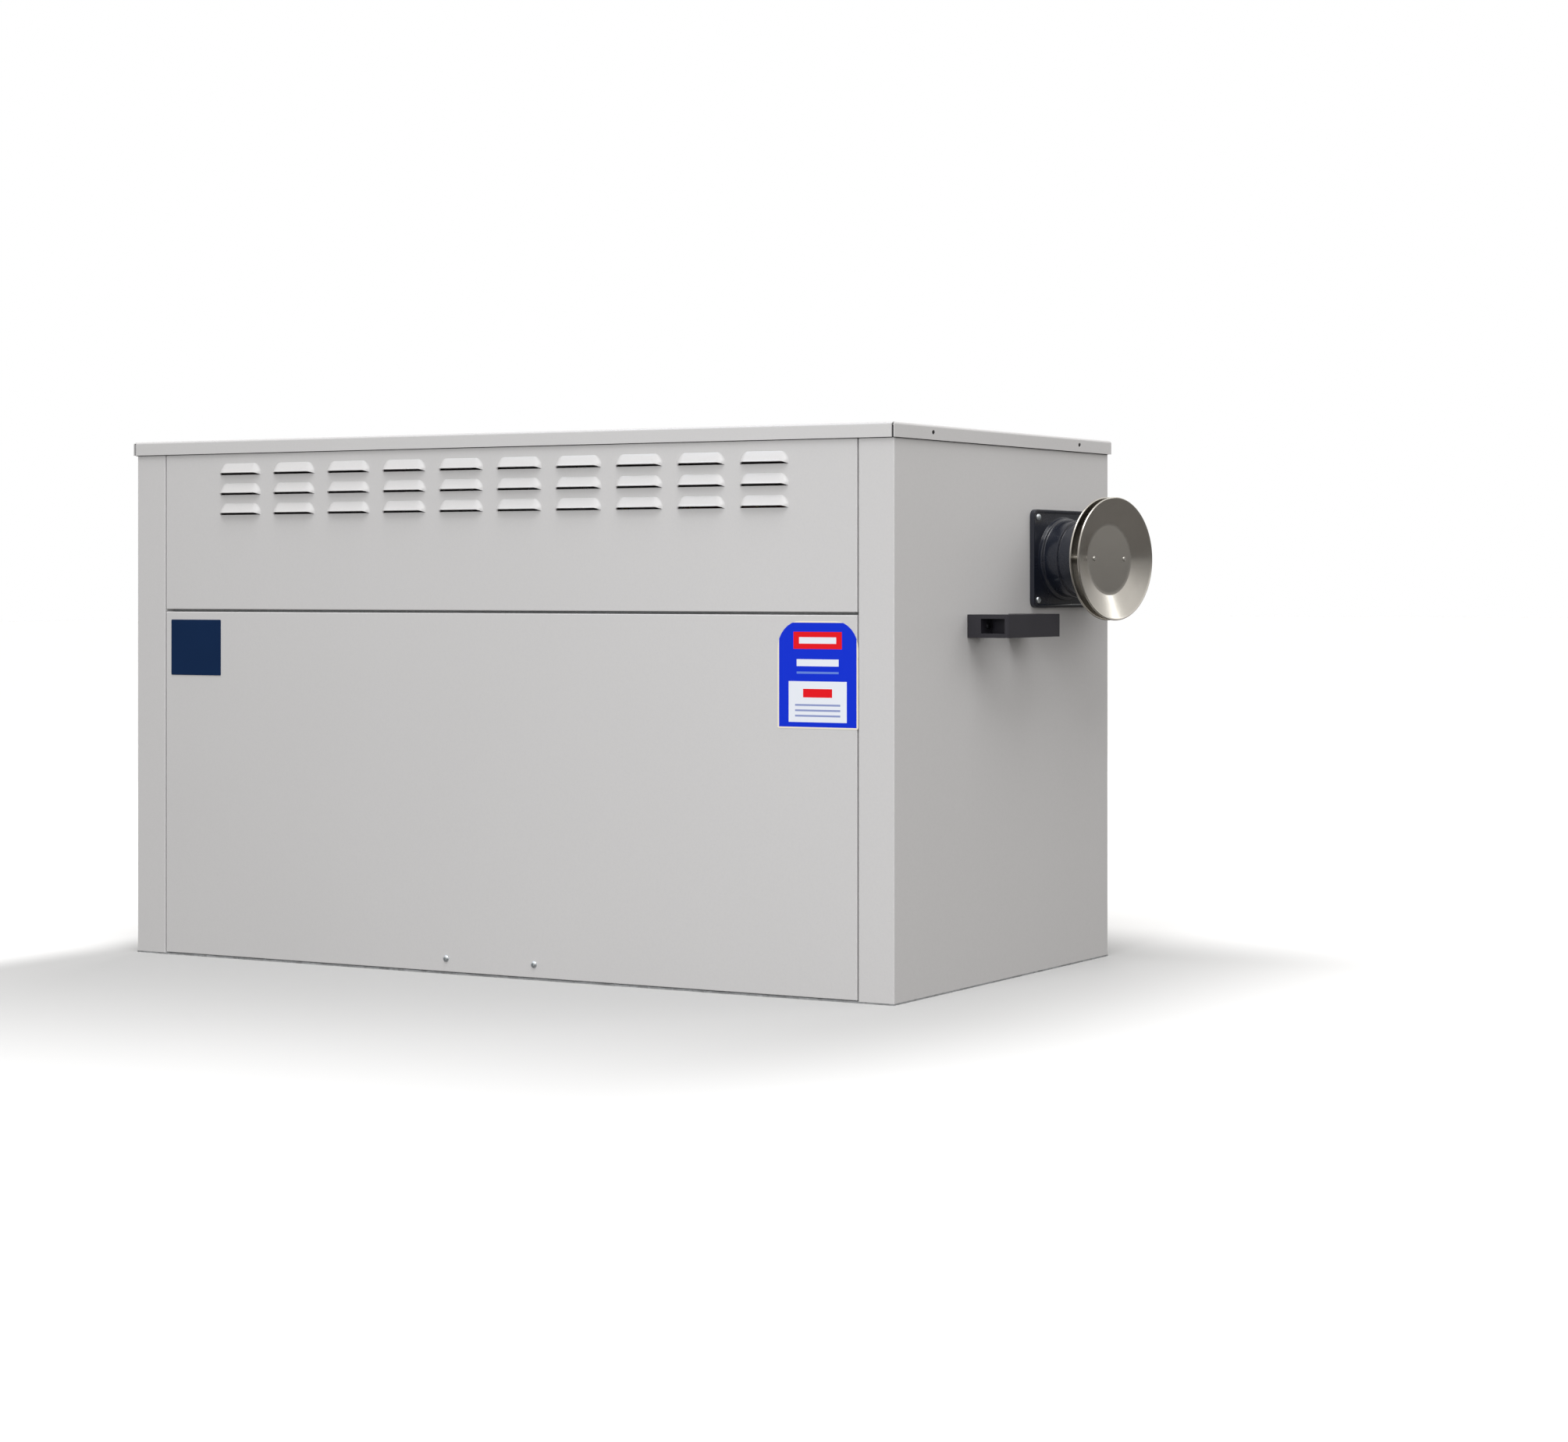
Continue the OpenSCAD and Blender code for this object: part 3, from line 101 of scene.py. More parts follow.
class Finish:
    """A material built from nodes, for one finish of the furnace."""

    def __init__(self, name):
        self.material = bpy.data.materials.new(name)
        self.material.use_nodes = True
        self.tree = self.material.node_tree
        self.tree.nodes.clear()
        self.place = self.node("ShaderNodeTexCoord", output=3)

    def node(self, kind, settings=None, sockets=None, output=0):
        made = self.tree.nodes.new(kind)
        for key, value in (settings or {}).items():
            setattr(made, key, value)
        for key, value in (sockets or {}).items():
            if isinstance(value, Value):
                self.tree.links.new(value.socket, made.inputs[key])
            else:
                made.inputs[key].default_value = value
        return Value(self, made.outputs[output]) if len(made.outputs) else made

    def math(self, operation, *terms):
        return self.node("ShaderNodeMath", {"operation": operation}, dict(enumerate(terms)))

    def noise(self, scale, detail=2.0, rough=0.5, place=None):
        return self.node("ShaderNodeTexNoise", None, {
            "Vector": place or self.place, "Scale": scale, "Detail": detail, "Roughness": rough})

    def cells(self, scale, place, feature="F1", output=1):
        return self.node("ShaderNodeTexVoronoi", {"feature": feature},
                         {"Vector": place, "Scale": scale}, output)

    def stretched(self, scale, shift=(0, 0, 0)):
        return self.node("ShaderNodeMapping", None, {
            "Vector": self.place, "Scale": scale, "Location": shift})

    def axes(self, place=None):
        made = self.tree.nodes.new("ShaderNodeSeparateXYZ")
        self.tree.links.new((place or self.place).socket, made.inputs[0])
        return [Value(self, made.outputs[i]) for i in range(3)]

    def band(self, value, low, high, most=1.0):
        """Rises softly from 0 to most while the value goes from low to high."""
        return self.node("ShaderNodeMapRange", {"interpolation_type": "SMOOTHSTEP"}, {
            "Value": value, "From Min": low, "From Max": high, "To Min": 0.0, "To Max": most})

    def mix(self, share, first, second):
        return self.node("ShaderNodeMix", {"data_type": "RGBA"},
                         {0: share, 6: first, 7: second}, 2)

    def tones(self, share, colour, darker, lighter):
        """A colour that wanders between two tones of itself."""
        return self.mix(share, toned(colour, darker), toned(colour, lighter))

    def patches(self, tint, value, low, high, most, colour):
        """Lays a colour over a tint wherever a pattern is high."""
        return self.mix(self.band(value, low, high, most), tint, colour)

    def bump(self, height, distance, strength):
        return self.node("ShaderNodeBump", None,
                         {"Height": height, "Distance": distance, "Strength": strength})

    def surface(self, **sockets):
        """Ends the material in a Principled shader. A name's underscores stand for spaces."""
        named = {key.replace("_", " "): value for key, value in sockets.items()}
        shader = self.node("ShaderNodeBsdfPrincipled", None, named)
        self.node("ShaderNodeOutputMaterial", None, {"Surface": shader})
        return self.material


def rgb(red, green, blue):
    """A colour as it is seen, 0 to 255, made linear."""
    linear = [((c / 255 + 0.055) / 1.055) ** 2.4 if c > 10 else c / 255 / 12.92
              for c in (red, green, blue)]
    return (*linear, 1.0)


def toned(colour, factor):
    return (*[min(1.0, c * factor) for c in colour[:3]], 1.0)


def grey(level):
    return (level, level, level, 1.0)


def powder_coat(f, colour):
    """Satin powder coat: orange peel in the gloss, a slight unevenness in the grey."""
    speck = f.noise(420.0, 2.0, 0.6)
    peel = f.noise(520.0, 1.0, 0.4)
    wave = f.noise(26.0)
    tint = f.tones(f.noise(2.1), colour, 0.965, 1.03)
    tint = f.patches(tint, speck, 0.35, 0.75, 0.18, toned(colour, 0.88))
    return f.surface(Base_Color=tint, Roughness=f.noise(60.0, 3.0) * 0.12 + 0.36,
                     IOR=1.5, Coat_Weight=0.12, Coat_Roughness=0.25,
                     Normal=f.bump(peel + wave * 2.0, 0.00004, 0.35))


def galvanised(f, colour):
    """Hot-dip zinc: crystals of different brightness, fine scratches, a dull bloom."""
    crystals = 85.0
    swirl = f.node("ShaderNodeTexNoise", None, {"Vector": f.place, "Scale": 140.0}, 1)
    warped = f.node("ShaderNodeVectorMath", {"operation": "MULTIPLY_ADD"},
                    {0: swirl, 1: (0.006, 0.006, 0.006), 2: f.place})
    large = f.axes(f.cells(crystals, warped))[0]
    small = f.axes(f.cells(crystals * 2.6, warped))[1]
    grain = large * 0.6 + small * 0.4
    scratch = f.noise(90.0, 3.0, 0.7, f.stretched((1.0, 9.0, 1.0)))
    tint = f.tones(grain, colour, 0.80, 1.18)
    tint = f.patches(tint, f.noise(7.0, 4.0, 0.6), 0.45, 0.75, 0.35, toned(colour, 0.9))
    return f.surface(Base_Color=tint, Metallic=0.82,
                     Roughness=grain * 0.18 + scratch * 0.12 + 0.34,
                     Normal=f.bump(grain + scratch * 0.5, 0.00005, 0.4))


def plain_steel(f, colour, rough=0.3, grain=(1.0, 1.0, 1.0), heat=0.0):
    """Drawn or rolled steel with marks along one axis, and heat tint where it gets hot."""
    marks = f.noise(130.0, 3.0, 0.6, f.stretched(grain))
    cloud = f.noise(11.0, 3.0, 0.55)
    tint = f.tones(marks, colour, 0.86, 1.1)
    if heat:
        tint = f.patches(tint, cloud, 0.48, 0.72, heat, rgb(120, 96, 74))
    return f.surface(Base_Color=tint, Metallic=0.9, Roughness=marks * 0.16 + cloud * 0.1 + rough,
                     Normal=f.bump(marks, 0.00003, 0.35))


def spun_steel(f, colour):
    """Stainless steel spun on a lathe: fine rings round the flue's axis and a soft haze."""
    _, y, z = f.axes(f.stretched((1.0, 1.0, 1.0), (0.0, -FLUE_Y, -FLUE_Z)))
    from_axis = f.math("SQRT", y * y + z * z)
    along = f.node("ShaderNodeCombineXYZ", None, {0: from_axis})
    rings = f.noise(2600.0, 2.0, 0.7, along)
    wide = f.noise(420.0, 2.0, 0.6, along)
    haze = f.noise(38.0, 3.0, 0.55)
    tint = f.tones(rings, colour, 0.84, 1.12)
    tint = f.patches(tint, haze, 0.45, 0.8, 0.3, toned(colour, 0.82))
    return f.surface(Base_Color=tint, Metallic=1.0, Roughness=rings * 0.1 + haze * 0.12 + 0.09,
                     Normal=f.bump(rings + wide * 1.5, 0.000012, 0.5))


def moulded(f, colour, rough=0.4, grain=900.0, depth=0.00003, sheen=0.0, mottle=0.06, gleam=0.5):
    """Moulded plastic with spark grain, slight flow marks and a little dust in the grain."""
    fine = f.noise(grain, 2.0, 0.6)
    flow = f.noise(22.0, 3.0, 0.5, f.stretched((1.0, 3.0, 1.0)))
    tint = f.tones(flow, colour, 1.0 - mottle * 2, 1.0 + mottle * 3)
    tint = f.patches(tint, fine, 0.6, 0.8, 0.15, toned(colour, 1.7))
    return f.surface(Base_Color=tint, Roughness=flow * 0.14 + fine * 0.08 + rough,
                     Specular_IOR_Level=gleam, Coat_Weight=sheen, Coat_Roughness=0.12,
                     Normal=f.bump(fine, depth, 0.5))


def soft_rubber(f, colour, rough=0.55):
    """Rubber or silicone: a dull skin with pores and a dusty film."""
    pores = f.noise(700.0, 2.0, 0.6)
    film = f.noise(30.0, 3.0, 0.6)
    tint = f.patches(colour, film, 0.4, 0.8, 0.35, toned(colour, 1.6))
    return f.surface(Base_Color=tint, Roughness=film * 0.2 + rough,
                     Normal=f.bump(pores, 0.00004, 0.5))


def cast_metal(f, colour, metal, rough, size=260.0):
    """Sand or die cast metal: pebbled skin, darker in the hollows."""
    pebble = f.noise(size, 3.0, 0.6)
    stain = f.noise(16.0, 3.0, 0.6)
    tint = f.tones(pebble, colour, 0.75, 1.15)
    tint = f.patches(tint, stain, 0.5, 0.8, 0.4, toned(colour, 0.6))
    return f.surface(Base_Color=tint, Metallic=metal, Roughness=pebble * 0.2 + rough,
                     Normal=f.bump(pebble, 0.00012, 0.5))


def enamel(f, colour):
    """Sprayed enamel on a motor's shell, with runs and dust."""
    peel = f.noise(300.0, 1.0, 0.4)
    dust = f.noise(45.0, 4.0, 0.65)
    tint = f.patches(colour, dust, 0.5, 0.85, 0.4, toned(colour, 1.9))
    return f.surface(Base_Color=tint, Roughness=dust * 0.25 + 0.3, Coat_Weight=0.2,
                     Coat_Roughness=0.2, Normal=f.bump(peel, 0.00005, 0.4))


def glass_wool(f, colour):
    """Matted glass fibre with a scrim facing of crossed threads."""
    threads = 5200.0
    clump = f.noise(38.0, 4.0, 0.65)
    x, _, z = f.axes()
    upright, level = [(f.math("SINE", way * threads) + 1.0) * 0.5 for way in (x, z)]
    scrim = f.math("MAXIMUM", upright, level)
    tint = f.tones(clump, colour, 0.8, 1.12)
    tint = f.patches(tint, scrim, 0.9, 1.0, 0.35, toned(colour, 0.6))
    return f.surface(Base_Color=tint, Roughness=clump * 0.1 + 0.85,
                     Normal=f.bump(clump * 0.7 + scrim * 0.3, 0.0006, 0.6))


def circuit_green(f, colour):
    """Solder mask with copper tracks below it, and dark moulded parts above it."""
    board_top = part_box("circuit_board")[0].z + 15.8 * MM
    _, _, z = f.axes()
    tracks = f.cells(170.0, f.stretched((1.0, 1.0, 0.05)), "DISTANCE_TO_EDGE", 0)
    part = f.axes(f.cells(60.0, f.stretched((1.0, 1.0, 0.02))))[0]
    tint = f.mix(f.band(tracks, 0.04, 0.1), rgb(70, 120, 70), colour)
    dark = f.mix(part, rgb(22, 23, 26), rgb(44, 58, 96))
    tint = f.mix(z > board_top, tint, dark)
    return f.surface(Base_Color=tint, Roughness=part * 0.2 + 0.35,
                     Normal=f.bump(tracks, 0.00005, 0.4))


def laminations(f, colour):
    """Varnished transformer plates, stacked in thin layers round a paper-wound coil."""
    x, _, _ = f.axes()
    layers = f.math("SINE", x * 9000.0)
    varnish = f.noise(50.0, 3.0, 0.6)
    tint = f.tones(varnish, colour, 0.8, 1.25)
    return f.surface(Base_Color=tint, Metallic=0.4, Roughness=varnish * 0.2 + 0.42,
                     Normal=f.bump(layers, 0.00012, 0.5))


FINISHES = {slot: maker(Finish(slot), rgb(*colour), **more) for slot, maker, colour, more in (
    ("case_paint", powder_coat, (202, 201, 201), {}),
    ("galvanised_sheet", galvanised, (196, 199, 201), {}),
    ("insulation", glass_wool, (214, 208, 186), {}),
    ("badge_navy", moulded, (14, 38, 72),
     dict(rough=0.36, grain=1200.0, depth=0.00001, mottle=0.03, gleam=0.06)),
    ("zinc_screw", plain_steel, (214, 220, 224), dict(rough=0.2)),
    # Dark screw finish, used on the handle screws: partly painted shade, darker to match the shade
    # inside the handle pockets
    ("black_screw", plain_steel, (60, 61, 66), dict(rough=0.4)),
    ("mount_rubber", soft_rubber, (28, 28, 30), {}),
    ("shaft_steel", plain_steel, (205, 207, 209), dict(rough=0.18, grain=(1.0, 9.0, 1.0))),
    ("motor_enamel", enamel, (52, 56, 62), {}),
    ("bracket_zinc", plain_steel, (176, 180, 184), dict(rough=0.32, grain=(3.0, 3.0, 3.0))),
    ("tube_steel", plain_steel, (176, 177, 176), dict(grain=(6.0, 6.0, 0.6), heat=0.45)),
    ("wheel_steel", plain_steel, (150, 153, 156), dict(rough=0.34, heat=0.2)),
    ("fan_plastic", moulded, (46, 48, 52), dict(rough=0.42)),
    ("flue_plastic", moulded, (22, 26, 37),
     dict(rough=0.14, grain=700.0, depth=0.00001, sheen=0.3, mottle=0.08, gleam=0.6)),
    ("cowl_steel", spun_steel, (206, 202, 195), {}),
    ("strap_steel", plain_steel, (188, 186, 180), dict(rough=0.24, grain=(1.0, 8.0, 1.0))),
    ("burner_steel", plain_steel, (158, 160, 160),
     dict(rough=0.36, grain=(1.0, 1.0, 4.0), heat=0.3)),
    ("gas_pipe_black", cast_metal, (74, 76, 78), dict(metal=0.5, rough=0.4, size=420.0)),
    ("orifice_brass", plain_steel, (214, 178, 96), dict(rough=0.24)),
    ("valve_aluminium", cast_metal, (176, 180, 184), dict(metal=0.8, rough=0.38)),
    ("knob_plastic", moulded, (32, 33, 36), {}),
    ("electrode_ceramic", moulded, (240, 236, 226),
     dict(rough=0.22, grain=500.0, depth=0.00001, sheen=0.5, mottle=0.02)),
    ("switch_body", moulded, (48, 49, 53), dict(rough=0.42)),
    ("button_red", moulded, (190, 34, 28), dict(rough=0.28, depth=0.00001, sheen=0.3)),
    ("hose_silicone", soft_rubber, (138, 52, 44), dict(rough=0.45)),
    ("board_green", circuit_green, (40, 104, 66), {}),
    ("transformer_core", laminations, (98, 92, 84), {}),
    ("rocker_plastic", moulded, (30, 31, 34), dict(rough=0.26, depth=0.00002, sheen=0.3)),
    ("gland_plastic", moulded, (32, 33, 37), dict(rough=0.36)),
    ("handle_plastic", moulded, (38, 37, 43),
     dict(rough=0.36, grain=620.0, depth=0.00006, sheen=0.08)),
)}
for row in frame["record"]["subparts"]:
    node_mesh = frame["nodes"][row["node"]].data
    node_mesh.materials.clear()
    node_mesh.materials.append(FINISHES[row["material_slot"]])


# ---------------------------------------------------------------- mesh helpers
def new_object(name, data):
    made = bpy.data.objects.new(name, data)
    bpy.context.scene.collection.objects.link(made)
    return made


def new_piece(name, points, faces):
    mesh = bpy.data.meshes.new(name)
    mesh.from_pydata([tuple(p) for p in points], [], faces)
    mesh.validate()
    return new_object(name, mesh)


def settle(made):
    """Replaces a piece's mesh by what its modifiers make of it."""
    bpy.context.view_layer.update()
    graph = bpy.context.evaluated_depsgraph_get()
    mesh = bpy.data.meshes.new_from_object(made.evaluated_get(graph), depsgraph=graph)
    old = made.data
    made.modifiers.clear()
    made.data = mesh
    mesh.name = old.name
    bpy.data.meshes.remove(old)
    return made


def smooth(made, angle=32):
    """Smooth shading that leaves flat faces flat and keeps sharp creases."""
    made.data.shade_smooth()
    made.data.set_sharp_from_angle(angle=math.radians(angle))
    facing = made.modifiers.new("facing", "WEIGHTED_NORMAL")
    facing.mode, facing.weight, facing.keep_sharp = "FACE_AREA", 50, True
    return settle(made)


def outward(made):
    """Merges doubles and turns every face of a closed shell outwards."""
    shape = bmesh.new()
    shape.from_mesh(made.data)
    bmesh.ops.remove_doubles(shape, verts=shape.verts, dist=1e-6)
    bmesh.ops.recalc_face_normals(shape, faces=shape.faces)
    shape.to_mesh(made.data)
    shape.free()
    return made


def hand_in(made, body, slot, *nodes, angle=32, finish=None):
    """Paints and shades a finished piece, hangs it on its body and hides the nodes it stands for."""
    made.data.materials.clear()
    made.data.materials.append(finish or FINISHES[slot])
    smooth(made, angle)
    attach(made, body)
    if nodes:
        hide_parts(*nodes)


def softened_copy(name, node, width):
    """A copy of a node's mesh with its loose triangles joined and its edges rounded."""
    shape = bmesh.new()
    shape.from_mesh(frame["nodes"][node].data)
    bmesh.ops.remove_doubles(shape, verts=shape.verts, dist=2e-6)
    bmesh.ops.dissolve_limit(shape, angle_limit=math.radians(1.0), verts=shape.verts,
                             edges=shape.edges)
    mesh = bpy.data.meshes.new(name)
    shape.to_mesh(mesh)
    shape.free()
    made = new_object(name, mesh)
    bevel = made.modifiers.new("edges", "BEVEL")
    bevel.width, bevel.segments = width, 3
    bevel.limit_method, bevel.angle_limit = "ANGLE", math.radians(35)
    bevel.use_clamp_overlap = True
    return settle(made)


def cut(made, cutters):
    """Cuts closed shells out of a piece and removes them."""
    for cutter in cutters:
        knife = made.modifiers.new("cut", "BOOLEAN")
        knife.operation, knife.solver, knife.object = "DIFFERENCE", "EXACT", cutter
    settle(made)
    for cutter in cutters:
        mesh = cutter.data
        bpy.data.objects.remove(cutter)
        bpy.data.meshes.remove(mesh)
    return made


def ring(centre, axis, radius, sides):
    """Points round a centre, in the plane that axis 0, 1 or 2 stands on."""
    points = []
    for i in range(sides):
        a = 2 * math.pi * i / sides
        offset = [radius * math.cos(a), radius * math.sin(a)]
        offset.insert(axis, 0.0)
        points.append(Vector(centre) + Vector(offset))
    return points


def shell(name, rings, looped=False):
    """Skin over rings of as many points each, capped at both ends or looped from last to first."""
    sides, count = len(rings[0]), len(rings)
    faces = []
    for k in range(count if looped else count - 1):
        n = (k + 1) % count
        for i in range(sides):
            j = (i + 1) % sides
            faces.append((k * sides + i, k * sides + j, n * sides + j, n * sides + i))
    if not looped:
        faces += [tuple(range(sides)), tuple(range((count - 1) * sides, count * sides))]
    return outward(new_piece(name, [p for points in rings for p in points], faces))


def punch(x, y, z, radius, length, sides=24):
    """Rod along X that cuts a round hole."""
    return shell("punch", [ring((x + end * length, y, z), 0, radius, sides) for end in (-0.5, 0.5)])


def arc_points(cx, cy, radius, start, end, steps):
    angles = [math.radians(start + (end - start) * k / steps) for k in range(steps + 1)]
    return [(cx + radius * math.cos(a), cy + radius * math.sin(a)) for a in angles]


def left_of(direction):
    return Vector((-direction.y, direction.x)).normalized()


def rounded_path(corners, radius, steps=6):
    """Points and outward normals along an open path of right turns with rounded corners."""
    corners = [Vector(c) for c in corners]
    points, normals = [corners[0]], [left_of(corners[1] - corners[0])]
    for before, corner, after in zip(corners, corners[1:], corners[2:]):
        d0, d1 = (corner - before).normalized(), (after - corner).normalized()
        centre = corner - d0 * radius + d1 * radius
        for k in range(steps + 1):
            a = math.pi / 2 * k / steps
            normal = left_of(d0) * math.cos(a) + left_of(d1) * math.sin(a)
            points.append(centre + normal * radius)
            normals.append(normal)
    points.append(corners[-1])
    normals.append(left_of(corners[-1] - corners[-2]))
    return points, normals


def bent_strip(name, corners, bend, low, high, mirrored=False, thick=SHEET):
    """Strip bent along an open path in the plan and drawn up from low to high."""
    points, normals = rounded_path(corners, bend)
    loop = points + [p - n * thick for p, n in zip(reversed(points), reversed(normals))]
    side = -1 if mirrored else 1
    total = len(loop)
    verts = [(side * p.x, p.y, z) for z in (low, high) for p in loop]
    faces = [(i, (i + 1) % total, total + (i + 1) % total, total + i) for i in range(total)]
    for base in (0, total):
        for i in range(len(points) - 1):
            j = total - 1 - i
            faces.append((base + i, base + i + 1, base + j - 1, base + j))
    return outward(new_piece(name, verts, faces))


def pan(name, lines_u, lines_v, edges, bend, place, slits, relief=None):
    """Sheet folded back along the four edges of a face.

    lines_u and lines_v are the grid lines of the flat face inside its bends. edges holds the
    profile of each fold, left, right, low and high, as (outward, depth) points that follow the
    bend. slits says how far the upright folds and the level ones stop short of the corners.
    relief gives each grid point's height and rise, and which points are torn open."""
    rows, columns = len(lines_v), len(lines_u)
    points, faces = [], []
    index = np.arange(rows * columns).reshape(rows, columns)
    heights, rises = relief[:2] if relief else np.zeros((2, rows, columns))
    for j, v in enumerate(lines_v):
        for i, u in enumerate(lines_u):
            points.append(place(u, v + rises[j, i], -heights[j, i]))
    below = index.copy()
    if relief:
        for j, i in zip(*np.nonzero(relief[2])):
            below[j, i] = len(points)
            points.append(place(lines_u[i], lines_v[j], 0.0))
    for j in range(rows - 1):
        for i in range(columns - 1):
            faces.append((index[j, i], index[j, i + 1], below[j + 1, i + 1], below[j + 1, i]))
    for side, brink, away in (("left", index[::-1, 0], (-1, 0)), ("right", index[:, -1], (1, 0)),
                              ("low", index[0], (0, -1)), ("high", index[-1, ::-1], (0, 1))):
        previous = brink
        for outward_by, depth in arc_points(0.0, bend, bend, -90, 0, 6)[1:] + edges[side]:
            reach = min(outward_by, bend)
            gap = slits[0 if away[0] else 1] * min(1.0, reach / bend)
            spread = [0.0] * len(brink)
            spread[0], spread[-1] = gap - reach, reach - gap
            row = []
            for corner, along in zip(brink, spread):
                j, i = divmod(corner, columns)
                row.append(len(points))
                points.append(place(lines_u[i] + away[0] * outward_by - away[1] * along,
                                    lines_v[j] + away[1] * outward_by + away[0] * along, depth))
            for k in range(len(brink) - 1):
                faces.append((previous[k], row[k], row[k + 1], previous[k + 1]))
            previous = row
    made = new_piece(name, points, faces)
    facing = Vector(place(0, 0, -1)) - Vector(place(0, 0, 0))
    if made.data.polygons[0].normal.dot(facing) < 0:
        made.data.flip_normals()
    wall = made.modifiers.new("wall", "SOLIDIFY")
    wall.thickness, wall.offset, wall.use_rim = SHEET, -1.0, True
    return settle(made)


# ---------------------------------------------------------------- case panels
BEND = 1.2 * MM
REAR_RETURN = 25 * MM
POST_W, POST_DEPTH = 49 * MM, 20 * MM
FLUE_HOLE_R = 41.2 * MM
plan = [(SIDE_X - REAR_RETURN, REAR_Y), (SIDE_X, REAR_Y), (SIDE_X, FRONT_Y),
        (SIDE_X - POST_W, FRONT_Y), (SIDE_X - POST_W, FRONT_Y + POST_DEPTH)]
for side_name, mirrored in (("right", False), ("left", True)):
    panel = bent_strip(side_name + "_side_skin", plan, BEND, side_low.z, side_high.z, mirrored)
    if not mirrored:
        cut(panel, [punch(SIDE_X, FLUE_Y, FLUE_Z, FLUE_HOLE_R, 10 * MM, 64)])
    hand_in(panel, "case", "case_paint", side_name + "_side_panel")

# Lid: a shallow tray upside down, open at its corners
LID_BEND, LID_EDGE = 3.0 * MM, 17 * MM
LID_SLITS = (0.0, 4.0 * MM)
LID_SCREW_Z = CASE_TOP - 8.5 * MM
LID_HOLE_Y, LID_HOLE_R = 135 * MM, 2.5 * MM
lid = pan("lid_skin",
          [lid_low.x + LID_BEND, lid_high.x - LID_BEND],
          [lid_low.y + LID_BEND, lid_high.y - LID_BEND],
          {side: [(LID_BEND, LID_EDGE)] for side in ("left", "right", "low", "high")},
          LID_BEND, lambda u, v, d: (u, v, CASE_TOP - d), LID_SLITS)
cut(lid, [punch(s * lid_high.x, t * LID_HOLE_Y, LID_SCREW_Z, LID_HOLE_R, 8 * MM)
          for s in (-1, 1) for t in (-1, 1)])
hand_in(lid, "case", "case_paint", "lid")

# Dark rubber strip in the gap between the lid's skirt and the panels, along the front and both sides:
# painted shade, the dark line under the skirt
SHADE_STRIP_OUT, SHADE_STRIP_T, SHADE_STRIP_BEND = 1.7 * MM, 1.6 * MM, 2.2 * MM
SHADE_STRIP_LOW, SHADE_STRIP_HIGH = lid_low.z - 0.6 * MM, CASE_TOP - 4 * MM
shade_strip_x, shade_strip_front, shade_strip_rear = SIDE_X + SHADE_STRIP_OUT, FRONT_Y - SHADE_STRIP_OUT, REAR_Y - 3 * MM
shade_strip_path = [(shade_strip_x, shade_strip_rear), (shade_strip_x, shade_strip_front), (-shade_strip_x, shade_strip_front), (-shade_strip_x, shade_strip_rear)]
# Painted shade: this dark strip stands for the shade line under the lid's skirt
shade_strip = bent_strip("lid_seal", shade_strip_path, SHADE_STRIP_BEND, SHADE_STRIP_LOW, SHADE_STRIP_HIGH, thick=SHADE_STRIP_T)
hand_in(shade_strip, "case", "mount_rubber")


def front_place(u, v, d):
    return (u, FRONT_Y + d, v)


# Lower front panel, with the lip at the back of its top fold that hooks on the rail
PANEL_SLITS = (0.4 * MM, 0.4 * MM)
FOLD, HOOK_LIP, HOOK_BEND = 18 * MM, 6 * MM, 1.5 * MM
hook_turn = FOLD - SHEET - HOOK_BEND
hook = [(BEND, hook_turn), *arc_points(BEND + HOOK_BEND, hook_turn, HOOK_BEND, 150, 90, 2),
        (BEND + HOOK_LIP, FOLD - SHEET)]
plain_fold = [(BEND, FOLD)]
lower_panel = pan("lower_front_skin",
                  [lower_low.x + BEND, lower_high.x - BEND],
                  [lower_low.z + BEND, lower_high.z - HOOK_LIP - BEND],
                  {"left": plain_fold, "right": plain_fold, "low": plain_fold, "high": hook},
                  BEND, front_place, PANEL_SLITS)
hand_in(lower_panel, "lower_panel", "case_paint", "lower_front_panel")

# Upper front panel with three rows of pressed louvres
LOUVRES, ROWS = 10, 3
PITCH_X, PITCH_Z = 91.3 * MM, 25 * MM
LOUVRE_W, LOUVRE_H, LOUVRE_D = 69 * MM, 14.4 * MM, 6 * MM
TOP_ROW_LIP = CASE_TOP - 44 * MM
END_RUN, CORNER_W, CORNER_H = 8 * MM, 11.5 * MM, 10.5 * MM
LIP_RISE, LIP_REACH = 2.8 * MM, 6 * MM
FLAT_BESIDE, FLAT_ABOVE, HAIR = 0.6 * MM, 2.7 * MM, 1e-6


def louvre_height(x, z):
    """How far a louvre stands out at x from its middle and z above its lower edge: a ramp
    from a rounded top edge down to the lip, cut off by the slopes of the two ends."""
    end = LOUVRE_W / 2 - abs(x)
    if end <= 0 or z < -HAIR / 10:
        return 0.0
    top = LOUVRE_H
    if end < CORNER_W:
        top -= CORNER_H * (1 - end / CORNER_W) ** 2.1
    if z >= top:
        return 0.0
    share = (top - z) / (LOUVRE_H - LIP_RISE)
    ramp = 0.93 * share ** 0.78 + 0.07 * max(0.0, (share - 0.8) / 0.2) ** 2
    slope = math.sin(min(1.0, end / END_RUN) * math.pi / 2)
    return LOUVRE_D * min(1.0, ramp, slope)


